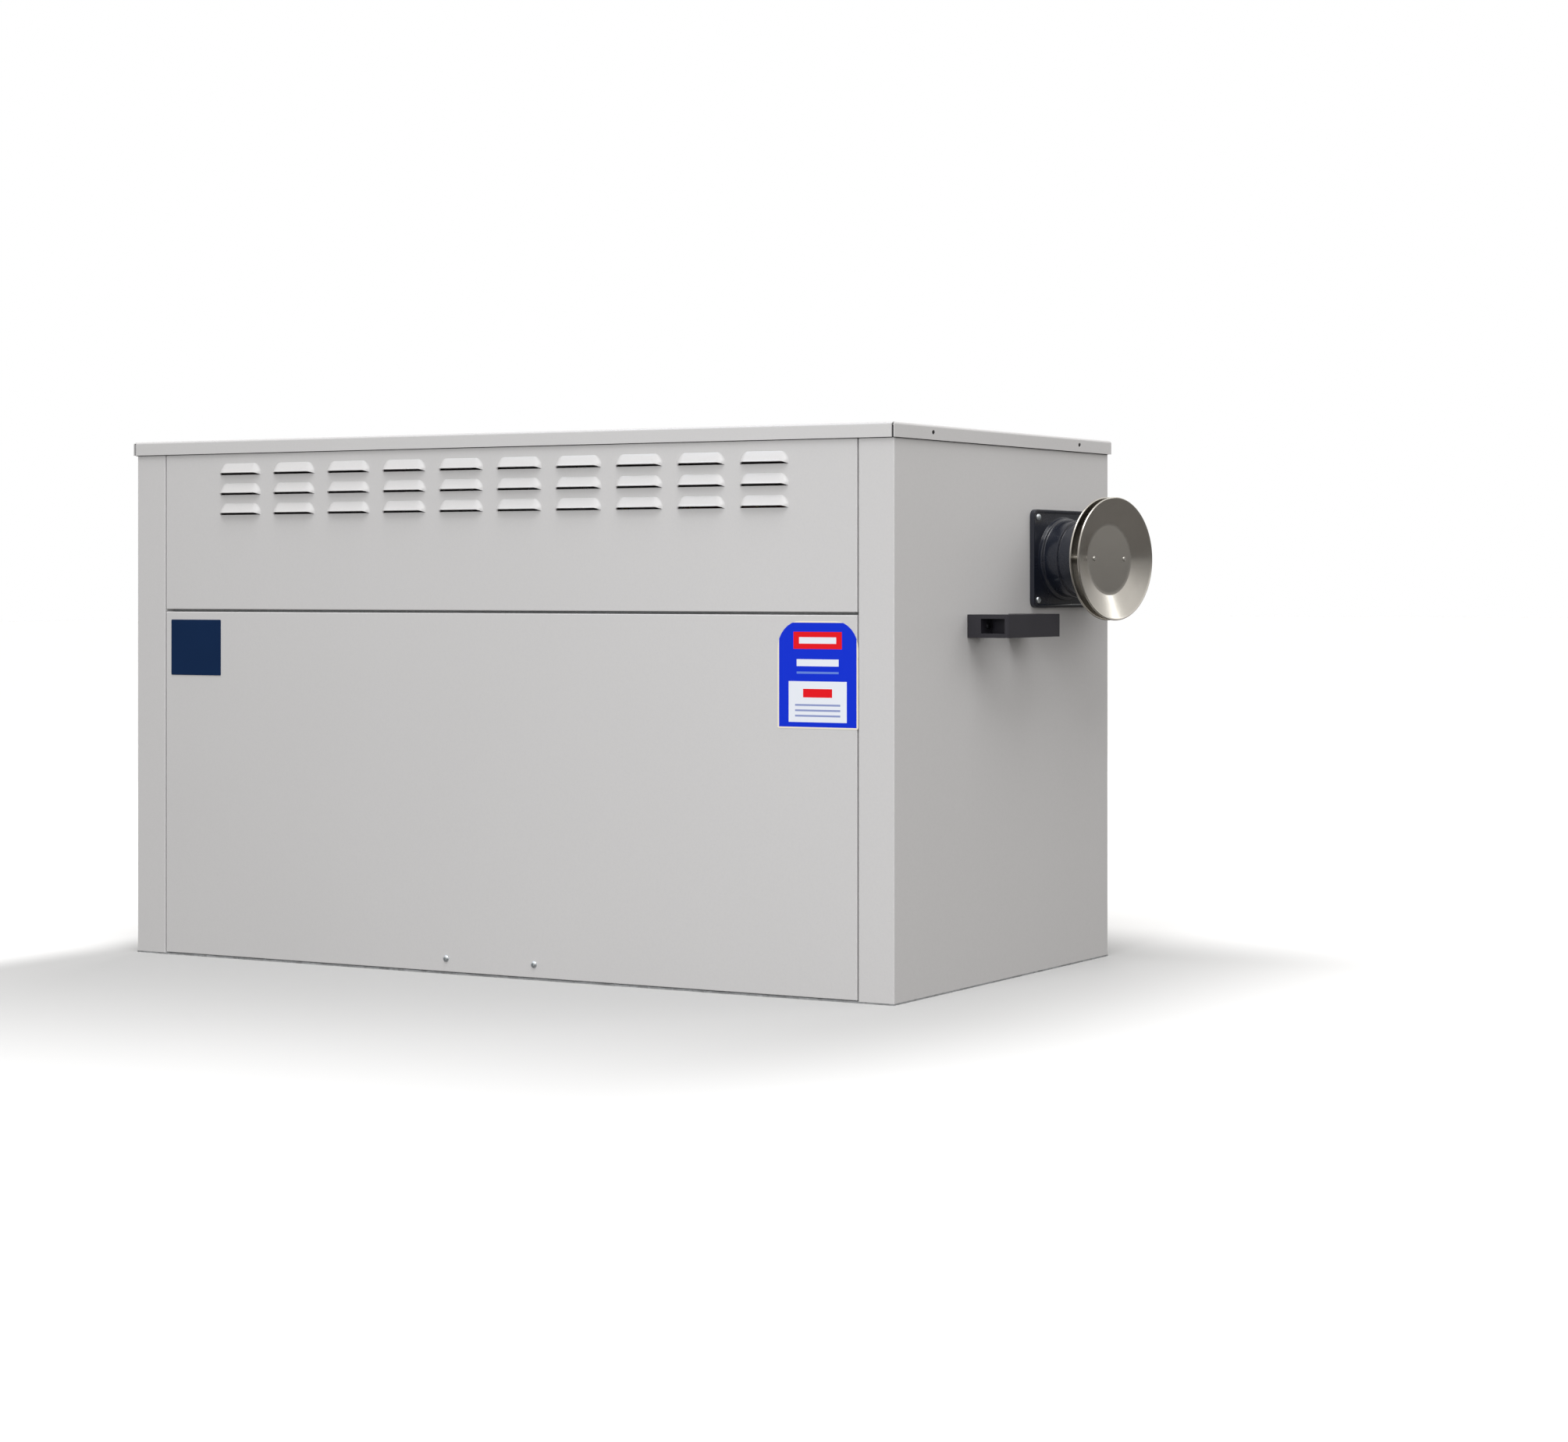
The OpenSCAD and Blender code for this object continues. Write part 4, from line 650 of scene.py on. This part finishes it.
CORNER_LINES, LAST_LINE_IN = 14, 3 * MM
HALF_W = LOUVRE_W / 2
half_steps = [HALF_W + FLAT_BESIDE, *np.linspace(HALF_W, HALF_W - CORNER_W, CORNER_LINES),
              HALF_W - CORNER_W - LAST_LINE_IN]
across = sorted({round(float(s * h), 7) for s in (-1, 1) for h in half_steps})
up = [z * MM for z in (0.0, 0.8, 1.8, 3.2, 4.8, 6.4, 8.0, 9.6, 10.9, 12.0, 12.9, 13.5, 13.9, 14.2)]
up = [-FLAT_BESIDE, *up, LOUVRE_H, LOUVRE_H + FLAT_ABOVE]
middles = [(i - (LOUVRES - 1) / 2) * PITCH_X for i in range(LOUVRES)]
feet = [TOP_ROW_LIP - j * PITCH_Z for j in range(ROWS)]
lines_u = sorted([lower_low.x + BEND, lower_high.x - BEND] + [m + a for m in middles for a in across])
lines_v = sorted([upper_low.z + BEND, upper_high.z - BEND] + [f + a for f in feet for a in up])
relief, rises = np.zeros((2, len(lines_v), len(lines_u)))
torn = np.zeros((len(lines_v), len(lines_u)), bool)
for j, v in enumerate(lines_v):
    for i, u in enumerate(lines_u):
        x = u - min(middles, key=lambda c: abs(c - u))
        z = v - min(feet, key=lambda c: abs(c + LOUVRE_H / 2 - v))
        if -HAIR < z < LOUVRE_H:
            lip = louvre_height(x, 0.0) / LOUVRE_D
            rises[j, i] = LIP_RISE * lip * max(0.0, 1 - z / LIP_REACH)
            relief[j, i] = louvre_height(x, z + rises[j, i])
            torn[j, i] = abs(z) < HAIR and relief[j, i] > HAIR
SHORT_FOLD, JAMB_FOLD = [(BEND, 10 * MM)], [(BEND, 21.5 * MM)]
upper_panel = pan("louvred_skin", lines_u, lines_v,
                  {"left": JAMB_FOLD, "right": JAMB_FOLD, "low": SHORT_FOLD, "high": SHORT_FOLD},
                  BEND, front_place, PANEL_SLITS, (relief, rises, torn))
hand_in(upper_panel, "case", "case_paint", "upper_front_panel", angle=48)


# ---------------------------------------------------------------- badge plate and sticker
def flat_plate(name, low, high, thick, upper_r, lower_r, rim):
    """Thin plate on the front panel with round corners and a softened edge."""
    outline = []
    for cx, cz, radius, start in (
            (high[0] - upper_r, high[1] - upper_r, upper_r, 0),
            (low[0] + upper_r, high[1] - upper_r, upper_r, 90),
            (low[0] + lower_r, low[1] + lower_r, lower_r, 180),
            (high[0] - lower_r, low[1] + lower_r, lower_r, 270)):
        outline += arc_points(cx, cz, radius, start, start + 90, 8)
    middle_x, middle_z = (low[0] + high[0]) / 2, (low[1] + high[1]) / 2
    levels = [(0.0, 0.0), (thick - rim, 0.0), (thick - rim * 0.3, rim * 0.3), (thick, rim)]
    return shell(name, [[(x + math.copysign(inset, middle_x - x), FRONT_Y - out,
                          z + math.copysign(inset, middle_z - z)) for x, z in outline]
                        for out, inset in levels])


BADGE_T, BADGE_CORNER = 0.8 * MM, 1.2 * MM
badge = flat_plate("navy_plate", (badge_low.x, badge_low.z), (badge_high.x, badge_high.z),
                   BADGE_T, BADGE_CORNER, BADGE_CORNER, 0.4 * MM)
hand_in(badge, "lower_panel", "badge_navy", "badge_plate")


def sticker_print(low, high):
    """Generic vinyl sticker: a blue field, a red band at its top, a pale panel with plain bars."""
    f = Finish("sticker_print")
    x, _, z = f.axes()
    u = (x - low[0]) / (high[0] - low[0])
    v = (z - low[1]) / (high[1] - low[1])
    blue, pale, red = rgb(0, 44, 205), rgb(228, 232, 240), rgb(226, 12, 26)
    light_blue, bar_blue = rgb(96, 128, 214), rgb(140, 152, 196)
    tint = rgb(232, 224, 206)
    for left, right, foot, head, ink in (
            (0.02, 0.98, 0.015, 0.985, blue),
            (0.20, 0.80, 0.74, 0.90, red),
            (0.27, 0.73, 0.79, 0.85, pale),
            (0.24, 0.76, 0.58, 0.645, pale),
            (0.24, 0.76, 0.51, 0.53, light_blue),
            (0.14, 0.86, 0.06, 0.44, pale),
            (0.22, 0.78, 0.11, 0.128, bar_blue),
            (0.22, 0.78, 0.16, 0.178, bar_blue),
            (0.22, 0.78, 0.21, 0.228, bar_blue),
            (0.32, 0.68, 0.29, 0.37, red)):
        tint = f.mix((u > left) * (u < right) * (v > foot) * (v < head), tint, ink)
    gloss = f.noise(240.0)
    return f.surface(Base_Color=tint, Roughness=gloss * 0.1 + 0.3, Specular_IOR_Level=0.3,
                     Normal=f.bump(gloss, 0.00001, 0.3))


STICKER_LOW = (430 * MM, 306 * MM)
STICKER_HIGH = (543 * MM, 427.5 * MM)
STICKER_T, STICKER_TOP_R, STICKER_FOOT_R = 0.25 * MM, 32 * MM, 2 * MM
sticker = flat_plate("plain_sticker", STICKER_LOW, STICKER_HIGH, STICKER_T,
                     STICKER_TOP_R, STICKER_FOOT_R, 0.1 * MM)
hand_in(sticker, "lower_panel", "badge_navy", finish=sticker_print(STICKER_LOW, STICKER_HIGH))

# ---------------------------------------------------------------- insulation blanket
random.seed(11)
BLANKET_CELLS = (96, 40)
BLANKET_PINS = (5, 2)
PIN_DIMPLE, EDGE_DIMPLE = 35 * MM, 20 * MM


def blanket():
    """Glass fibre slab, plump between the pins that hold it to the panel."""
    lo, hi = blanket_low, blanket_high
    wide, tall, thick = hi.x - lo.x, hi.z - lo.z, hi.y - lo.y
    columns, rows = BLANKET_CELLS
    pins = [(lo.x + (i + 0.5) * wide / BLANKET_PINS[0], lo.z + (j + 0.5) * tall / BLANKET_PINS[1])
            for i in range(BLANKET_PINS[0]) for j in range(BLANKET_PINS[1])]
    points, faces = [], []
    for back in (False, True):
        for j in range(rows + 1):
            for i in range(columns + 1):
                x, z = lo.x + wide * i / columns, lo.z + tall * j / rows
                y = lo.y + 0.1 * MM
                if back:
                    edge = min(min(i, columns - i) * wide / columns, min(j, rows - j) * tall / rows)
                    pin = min(math.hypot(x - px, z - pz) for px, pz in pins)
                    plump = 1 - 0.75 * math.exp(-(pin / PIN_DIMPLE) ** 2)
                    plump *= min(1.0, 0.35 + edge / EDGE_DIMPLE)
                    wave = 0.04 * math.sin(x * 47) * math.sin(z * 53 + x * 9)
                    wave += random.uniform(-0.03, 0.03)
                    y = lo.y + thick * max(0.15, min(0.98, 0.9 * plump + wave))
                points.append((x, y, z))
    row = columns + 1
    layer = row * (rows + 1)
    for base in (0, layer):
        for j in range(rows):
            for i in range(columns):
                a = base + j * row + i
                faces.append((a, a + 1, a + row + 1, a + row))
    rim = [*range(row), *(j * row + columns for j in range(1, rows + 1))]
    rim += [*(rows * row + i for i in range(columns - 1, -1, -1)),
            *(j * row for j in range(rows - 1, 0, -1))]
    for a, b in zip(rim, rim[1:] + rim[:1]):
        faces.append((a, b, layer + b, layer + a))
    return outward(new_piece("insulation_blanket", points, faces))


blanket_piece = blanket()
hand_in(blanket_piece, "lower_panel", "insulation", "panel_insulation", angle=60)


# ---------------------------------------------------------------- flue flange, collar and cowl
# Profiles are in millimetres: how far off the case's side, and the radius or half width there.
BORE_R, COLLAR_R, JOINT_R, COWL_R = 40.6, 45.0, 47.0, 73.7
PLATE_HALF, PLATE_T = 59.5, 6.2
COLLAR_END, DISH_OFF = 60.0, 70.0
CURL_STEPS = (160, 10, 5)


def flue_ring(off, radius, sides=128):
    return ring((SIDE_X + off * MM, FLUE_Y, FLUE_Z), 0, radius * MM, sides)


def square_ring(half, corner, off, sides):
    """Points of a square with round corners, by their angle round the flue's axis."""
    points = []
    inner = half - corner
    for i in range(sides):
        a = 2 * math.pi * i / sides
        c, s = math.cos(a), math.sin(a)
        scale = half / max(abs(c), abs(s))
        y, z = c * scale, s * scale
        if abs(y) > inner and abs(z) > inner:
            cy, cz = math.copysign(inner, y), math.copysign(inner, z)
            dot = c * cy + s * cz
            reach = dot + math.sqrt(dot * dot - (cy * cy + cz * cz) + corner * corner)
            y, z = c * reach, s * reach
        points.append(Vector((SIDE_X + off * MM, FLUE_Y + y * MM, FLUE_Z + z * MM)))
    return points


def flue_flange(sides=160):
    """Square plate with a raised rim, and the stepped collar that grows out of it."""
    rings = [flue_ring(0.2, BORE_R, sides)]
    for inset, off, corner in (
            (0.0, 0.0, 8.0), (0.0, PLATE_T - 0.8, 8.0), (0.25, PLATE_T - 0.2, 7.8),
            (0.8, PLATE_T, 7.4), (3.4, PLATE_T, 5.2), (4.0, PLATE_T - 0.3, 4.8),
            (4.4, PLATE_T - 1.1, 4.6)):
        rings.append(square_ring(PLATE_HALF - inset, corner, off, sides))
    for off, radius in (
            (5.1, 51.6), (5.3, 50.6), (6.2, 50.2), (9.0, 50.0), (9.8, 49.4), (10.2, 47.8),
            (10.8, JOINT_R + 0.2), (12.0, JOINT_R), (26.4, JOINT_R), (26.9, 47.5), (28.2, 47.6),
            (29.4, 47.4), (30.0, 46.4), (30.4, 45.4), (31.2, COLLAR_R), (52.0, COLLAR_R),
            (52.6, 45.6), (54.0, 45.8), (58.6, 45.8), (59.6, 45.4), (COLLAR_END, 44.6),
            (COLLAR_END, 41.4), (59.6, 40.8), (58.6, BORE_R)):
        rings.append(flue_ring(off, radius, sides))
    return shell("flue_flange_moulding", rings, looped=True)


def cowl_ring():
    """Rear disc of the cowl: a shallow cone with a rolled rim."""
    front, back = COLLAR_END + 0.85, COLLAR_END + 0.05
    profile = [(back, BORE_R), (back, COLLAR_R), (60.6, 47.0), (67.4, 71.6),
               *arc_points(68.3, COWL_R - 0.1, 1.3, *CURL_STEPS),
               (68.7, 72.6), (61.9, 47.2), (front, 45.2), (front, BORE_R)]
    return shell("cowl_rear_disc", [flue_ring(off, r) for off, r in profile], looped=True)


def cowl_dish():
    """Front dish: a flat middle, a crease, a cone that leans out and a rolled rim."""
    profile = [(DISH_OFF, 0.05), (DISH_OFF, 44.6), (70.25, 45.4), (78.9, 71.6),
               *arc_points(79.75, COWL_R, 1.25, *CURL_STEPS),
               (80.1, 72.6), (80.0, 72.2), (71.3, 45.6), (71.0, 44.7), (70.75, 43.9),
               (DISH_OFF + 0.7, 40.0), (DISH_OFF + 0.72, 20.0), (DISH_OFF + 0.7, 0.05)]
    return shell("cowl_front_dish", [flue_ring(off, r) for off, r in profile], looped=True)


hand_in(flue_flange(), "case", "flue_plastic", "flue_flange", angle=40)
hand_in(cowl_ring(), "case", "cowl_steel", "cowl_ring", angle=40)
hand_in(cowl_dish(), "case", "cowl_steel", "cowl_dish", angle=24)

# ---------------------------------------------------------------- handles
handles = softened_copy("handle_mouldings", "carrying_handles", 0.9 * MM)
hand_in(handles, "case", "handle_plastic", "carrying_handles")


# ---------------------------------------------------------------- screws
HEAD_SIDES = 24
HEAD_PROFILE = [(4.0, 0.0), (4.05, 0.25), (3.95, 0.7), (3.6, 1.35), (2.9, 1.95), (2.0, 2.28),
                (1.0, 2.4)]
RECESS_REACH, RECESS_HALF = 2.1 * MM, 0.38 * MM
RECESS_FOOT, RECESS_TOP = 1.35 * MM, 3 * MM


def screw_head():
    """Pan head with a flat washer face and a crossed recess, standing along +Z from zero."""
    head = shell("screw_head", [ring((0, 0, h * MM), 2, r * MM, HEAD_SIDES) for r, h in HEAD_PROFILE])
    corners = ((-1, -1), (1, -1), (1, 1), (-1, 1))
    return cut(head, [shell("recess_blade", [[(sx * half_x, sy * half_y, z) for sx, sy in corners]
                                             for z in (RECESS_FOOT, RECESS_TOP)])
                      for half_x, half_y in ((RECESS_REACH, RECESS_HALF),
                                             (RECESS_HALF, RECESS_REACH))])


def screws(name, places, body, node, finish="zinc_screw"):
    """Sets a head and a shank at each place: a point, a turn and the shank's length."""
    head = screw_head()
    cloud = bpy.data.meshes.new(name)
    cloud.from_pydata([point for point, _, _ in places], [], [])
    cloud.attributes.new("turn", "FLOAT_VECTOR", "POINT")
    cloud.attributes.new("shank", "FLOAT", "POINT")
    for i, (_, turn_by, length) in enumerate(places):
        cloud.attributes["turn"].data[i].vector = turn_by
        cloud.attributes["shank"].data[i].value = length
    made = new_object(name, cloud)
    tree = bpy.data.node_groups.new(name + "_tree", "GeometryNodeTree")
    inputs = {}
    for label, kind in (("Geometry", "Geometry"), ("Shank radius", "Float"), ("Finish", "Material")):
        socket = tree.interface.new_socket(label, in_out="INPUT", socket_type="NodeSocket" + kind)
        inputs[label] = socket.identifier
    tree.interface.new_socket("Geometry", in_out="OUTPUT", socket_type="NodeSocketGeometry")
    nodes = {}
    for key, kind, settings, values in (
            ("in", "NodeGroupInput", {}, {}),
            ("head", "GeometryNodeObjectInfo", {}, {"Object": head, "As Instance": True}),
            ("turn", "GeometryNodeInputNamedAttribute", {"data_type": "FLOAT_VECTOR"}, {0: "turn"}),
            ("shank", "GeometryNodeInputNamedAttribute", {"data_type": "FLOAT"}, {0: "shank"}),
            ("rod", "GeometryNodeMeshCylinder", {}, {"Vertices": 16, "Depth": 1.0}),
            ("sink", "GeometryNodeTransform", {}, {"Translation": (0, 0, -0.5)}),
            ("size", "ShaderNodeCombineXYZ", {}, {0: 1.0, 1: 1.0}),
            ("heads", "GeometryNodeInstanceOnPoints", {}, {}),
            ("shanks", "GeometryNodeInstanceOnPoints", {}, {}),
            ("both", "GeometryNodeJoinGeometry", {}, {}),
            ("real", "GeometryNodeRealizeInstances", {}, {}),
            ("paint", "GeometryNodeSetMaterial", {}, {}),
            ("out", "NodeGroupOutput", {}, {})):
        nodes[key] = tree.nodes.new(kind)
        for setting, value in settings.items():
            setattr(nodes[key], setting, value)
        for socket, value in values.items():
            nodes[key].inputs[socket].default_value = value
    for source, result, target, socket in (
            ("in", "Geometry", "heads", "Points"),
            ("in", "Geometry", "shanks", "Points"),
            ("in", "Shank radius", "rod", "Radius"),
            ("head", "Geometry", "heads", "Instance"),
            ("rod", "Mesh", "sink", "Geometry"),
            ("sink", "Geometry", "shanks", "Instance"),
            ("shank", "Attribute", "size", 2),
            ("size", "Vector", "shanks", "Scale"),
            ("turn", "Attribute", "heads", "Rotation"),
            ("heads", "Instances", "both", "Geometry"),
            ("turn", "Attribute", "shanks", "Rotation"),
            ("shanks", "Instances", "both", "Geometry"),
            ("both", "Geometry", "real", "Geometry"),
            ("real", "Geometry", "paint", "Geometry"),
            ("in", "Finish", "paint", "Material"),
            ("paint", "Geometry", "out", "Geometry")):
        tree.links.new(nodes[source].outputs[result], nodes[target].inputs[socket])
    modifier = made.modifiers.new("screws", "NODES")
    modifier.node_group = tree
    modifier[inputs["Shank radius"]] = 2.0 * MM
    modifier[inputs["Finish"]] = FINISHES[finish]
    settle(made)
    bpy.data.objects.remove(head)
    hand_in(made, body, "zinc_screw", node, angle=40, finish=FINISHES[finish])


TO_REAR = (-math.pi / 2, 0.0, 0.0)
TO_FRONT = (math.pi / 2, 0.0, 0.0)
TO_RIGHT = (0.0, math.pi / 2, 0.0)
TO_LEFT = (0.0, -math.pi / 2, 0.0)
SHORT_SHANK, FLUE_SHANK, LONG_SHANK = 10 * MM, 15 * MM, 27 * MM
REAR_SCREWS_Z = (80 * MM, 320 * MM, 560 * MM)
TRAY_SCREW_Z = 16 * MM
LID_SCREW_SHARE, TRAY_SCREW_SHARE = 0.7, 0.82
FLUE_SCREW_AT = 50 * MM
GRIP_SCREW_IN, GRIP_SCREW_OUT = 13 * MM, 19 * MM
PANEL_SCREW_X, PANEL_SCREW_Z = 69 * MM, 18.5 * MM
duct_low, duct_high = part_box("duct_spigots")
duct_flange_r = (duct_high.z - duct_low.z) / 2
duct_z = duct_low.z + duct_flange_r
duct_screw_r = duct_flange_r - 8.5 * MM
grip_low, grip_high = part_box("carrying_handles")
grip_y, grip_z = (grip_low.y + grip_high.y) / 2, (grip_low.z + grip_high.z) / 2
grip_screw_y = (grip_high.y - grip_low.y) / 2 - GRIP_SCREW_IN

rear_points = [(s * (SIDE_X - REAR_RETURN / 2), REAR_Y, z) for s in (-1, 1) for z in REAR_SCREWS_Z]
rear_points += [(s * LID_SCREW_SHARE * SIDE_X, lid_high.y, LID_SCREW_Z) for s in (-1, 0, 1)]
rear_points += [(s * TRAY_SCREW_SHARE * SIDE_X, REAR_Y - SHEET, TRAY_SCREW_Z) for s in (-1, 0, 1)]
for duct_x in (duct_low.x + duct_flange_r, duct_high.x - duct_flange_r):
    rear_points += [(x, REAR_Y, z)
                    for x, z in arc_points(duct_x, duct_z, duct_screw_r, 22.5, 337.5, 7)]
case_places = [(point, TO_REAR, SHORT_SHANK) for point in rear_points]
case_places += [((SIDE_X + 5 * MM, FLUE_Y + sy * FLUE_SCREW_AT, FLUE_Z + sz * FLUE_SCREW_AT),
                 TO_RIGHT, FLUE_SHANK) for sy in (-1, 1) for sz in (-1, 1)]
grip_places = [((s * (SIDE_X + GRIP_SCREW_OUT), grip_y + sy * grip_screw_y, grip_z), turned,
                LONG_SHANK) for s, turned in ((1, TO_RIGHT), (-1, TO_LEFT)) for sy in (-1, 1)]
panel_places = [((s * PANEL_SCREW_X, FRONT_Y, PANEL_SCREW_Z), TO_FRONT, LONG_SHANK)
                for s in (-1, 1)]
screws("case_screw_set", case_places, "case", "case_screws")
# The handle screws take the dark finish as painted shade: they stand for the shade inside the handle
# pockets
screws("handle_screw_set", grip_places, "case", "case_screws", "black_screw")
screws("panel_screw_set", panel_places, "lower_panel", "panel_screws")


# ---------------------------------------------------------------- pressure hose
def swept_tube(name, route, radius, sides=20):
    """Round tube along a route that lies in one plane of X and Z, closed at both ends."""
    rings = []
    for k, here in enumerate(route):
        along = (route[min(len(route) - 1, k + 1)] - route[max(0, k - 1)]).normalized()
        out = Vector((0.0, 1.0, 0.0)).cross(along)
        angles = [2 * math.pi * i / sides for i in range(sides)]
        rings.append([here + out * radius * math.cos(a) + Vector((0.0, radius * math.sin(a), 0.0))
                      for a in angles])
    return shell(name, rings)


HOSE_R, HOSE_BEND = 4 * MM, 18 * MM
hose_low, hose_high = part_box("pressure_hose")
hose_y = (hose_low.y + hose_high.y) / 2
first_x, last_x = hose_low.x + HOSE_R, hose_high.x - HOSE_R
tap_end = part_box("draft_fan_housing")[1].z - 16 * MM
bend_z = hose_high.z - HOSE_R - HOSE_BEND
route = [(first_x, hose_low.z), (first_x, (hose_low.z + bend_z) / 2),
         *arc_points(first_x + HOSE_BEND, bend_z, HOSE_BEND, 180, 90, 10),
         *arc_points(last_x - HOSE_BEND, bend_z, HOSE_BEND, 90, 0, 10), (last_x, tap_end)]
hose = swept_tube("pressure_hose_tube", [Vector((x, hose_y, z)) for x, z in route], HOSE_R)
hand_in(hose, "case", "hose_silicone", "pressure_hose")

# ---------------------------------------------------------------- floor, light and camera
# How many times faster the floor's shade fades beside and behind the case than before it
FADE_RIGHT, FADE_LEFT, FADE_REAR = 1.6, 6.5, 4.0


def floor_finish():
    """Paper sweep with a painted shadow: its colour is grey beside the furnace and white further off.
    The light that it throws back up at the furnace stays darker than it looks."""
    f = Finish("studio_floor")
    x, y, _ = f.axes()
    beside_x = f.math("MAXIMUM", (x - SIDE_X) * FADE_RIGHT, (-SIDE_X - x) * FADE_LEFT)
    beside_y = f.math("MAXIMUM", FRONT_Y - y, (y - REAR_Y) * FADE_REAR)
    beside_x = f.math("MAXIMUM", beside_x, 0.0)
    beside_y = f.math("MAXIMUM", beside_y, 0.0)
    away = f.math("SQRT", beside_x * beside_x + beside_y * beside_y)
    # Painted shadow: the floor's colour is grey near the case and fades to white further off
    shade = f.mix(f.noise(3.0), grey(0.475), grey(0.485))
    tint = f.mix(f.band(away, 0.0, 1.0), shade, grey(0.86))
    tint = f.mix(f.node("ShaderNodeLightPath"), (0.14, 0.135, 0.13, 1.0), tint)
    return f.surface(Base_Color=tint, Roughness=0.9, Specular_IOR_Level=0.0)


bpy.ops.mesh.primitive_plane_add(size=60, location=(0, 0, 0))
floor = bpy.context.object
floor.name = "studio_floor"
floor.data.materials.append(floor_finish())

world = bpy.data.worlds.new("studio")
bpy.context.scene.world = world
world.use_nodes = True
sky = world.node_tree
sky.nodes.clear()


def sky_node(kind, links=(), **values):
    made = sky.nodes.new(kind)
    for key, value in values.items():
        made.inputs[key].default_value = value
    for source, out, target in links:
        sky.links.new(source.outputs[out], made.inputs[target])
    return made


# The lens sees plain white. Metal sees walls that darken towards the floor, and the rest of
# the light comes from an even dome.
rays = sky_node("ShaderNodeLightPath")
seen = sky_node("ShaderNodeMath", [(rays, "Is Camera Ray", 0), (rays, "Is Transmission Ray", 1)])
seen.operation = "MAXIMUM"
way = sky_node("ShaderNodeTexCoord")
height = sky_node("ShaderNodeSeparateXYZ", [(way, "Generated", 0)])
wall = sky_node("ShaderNodeValToRGB", [(height, "Z", 0)])
for stop, level in ((0.0, 0.32), (0.12, 0.40), (0.30, 0.82), (0.55, 0.95)):
    spot = wall.color_ramp.elements.new(stop)
    spot.color = (level, level * 0.985, level * 0.96, 1)
wall.color_ramp.elements.remove(wall.color_ramp.elements[-1])
plain = sky_node("ShaderNodeBackground", Color=grey(1.0))
dome = sky_node("ShaderNodeBackground", Color=(1.0, 0.985, 0.965, 1), Strength=0.68)
studio = sky_node("ShaderNodeBackground", [(wall, "Color", "Color")])
lit = sky_node("ShaderNodeMixShader", [(rays, "Is Glossy Ray", 0), (dome, 0, 1), (studio, 0, 2)])
either = sky_node("ShaderNodeMixShader", [(seen, 0, 0), (lit, 0, 1), (plain, 0, 2)])
sky_node("ShaderNodeOutputWorld", [(either, 0, "Surface")])


def softbox(name, place, target, width, height, watts, colour):
    data = bpy.data.lights.new(name, "AREA")
    data.color, data.energy = colour, watts
    data.shape, data.size, data.size_y = "RECTANGLE", width, height
    lamp = new_object(name, data)
    lamp.location = place
    lamp.rotation_mode = "QUATERNION"
    lamp.rotation_quaternion = (Vector(target) - Vector(place)).to_track_quat("-Z", "Y")
    return lamp


sun_data = bpy.data.lights.new("overhead_lamp", "SUN")
sun_data.energy, sun_data.angle = 0.55 * math.pi, math.radians(38)
sun = new_object("overhead_lamp", sun_data)
sun.rotation_mode = "QUATERNION"
sun.rotation_quaternion = Vector((0.26, -0.30, 0.92)).to_track_quat("Z", "Y")
for name, place, target, width, height, watts, colour in (
        ("front_box", (0.65, -2.8, 0.75), (0.0, 0.0, 0.3), 1.4, 1.2, 25.0, (0.97, 0.985, 1.0)),
        ("corner_box", (2.2, -1.6, 0.9), (0.6, 0.0, 0.35), 0.8, 0.8, 6.0, (0.98, 0.99, 1.0)),
        ("side_box", (1.8, 0.5, 1.5), (0.6, 0.0, 0.4), 0.9, 0.9, 4.2, (1.0, 0.99, 0.98)),
        ("top_box", (0.5, -1.6, 2.4), (0.1, -0.1, 0.5), 1.2, 1.2, 6.0, (0.93, 0.96, 1.0)),
        ("rear_box", (-1.8, 2.8, 1.4), (0.0, 0.1, 0.3), 1.4, 1.2, 20.0, (1.0, 0.99, 0.98))):
    softbox(name, place, target, width, height, watts, colour).visible_glossy = False
for name, place, watts, colour in (
        ("collar_glint", (-1.0, -0.6, 2.3), 7.0, (0.62, 0.78, 1.0)),
        ("cowl_glint", (2.0, 2.4, 1.6), 2.5, (1.0, 1.0, 0.98))):
    softbox(name, place, (0.63, 0.1, 0.5), 0.35, 1.0, watts, colour).visible_diffuse = False

# The camera looks along a line that isn't square to its picture plane, as a view camera does.
# The skew lies in the matrix of the camera's parent, so the lens itself stays plain.
CAMERA_PLACE = Vector((2.473, -2.436, 0.468))
PLANE_FACING = Vector((-0.3420, 0.9397, 0.0))
UP = Vector((0.0, 0.0, 1.0))
SWING, DIP, LENS = -0.4092, -0.0550, 56.73
plane_right = PLANE_FACING.cross(UP)
line_of_sight = PLANE_FACING + plane_right * SWING + UP * DIP
camera_data = bpy.data.cameras.new("camera")
camera_data.sensor_width = 36.0
camera_data.lens = LENS * line_of_sight.length
camera = new_object("camera", camera_data)
camera.parent = new_object("camera_seat", None)
camera.matrix_parent_inverse = Matrix(
    [*zip(plane_right, UP, -line_of_sight.normalized(), CAMERA_PLACE), (0.0, 0.0, 0.0, 1.0)])
bpy.context.scene.camera = camera
bpy.context.scene.view_settings.view_transform = "Standard"
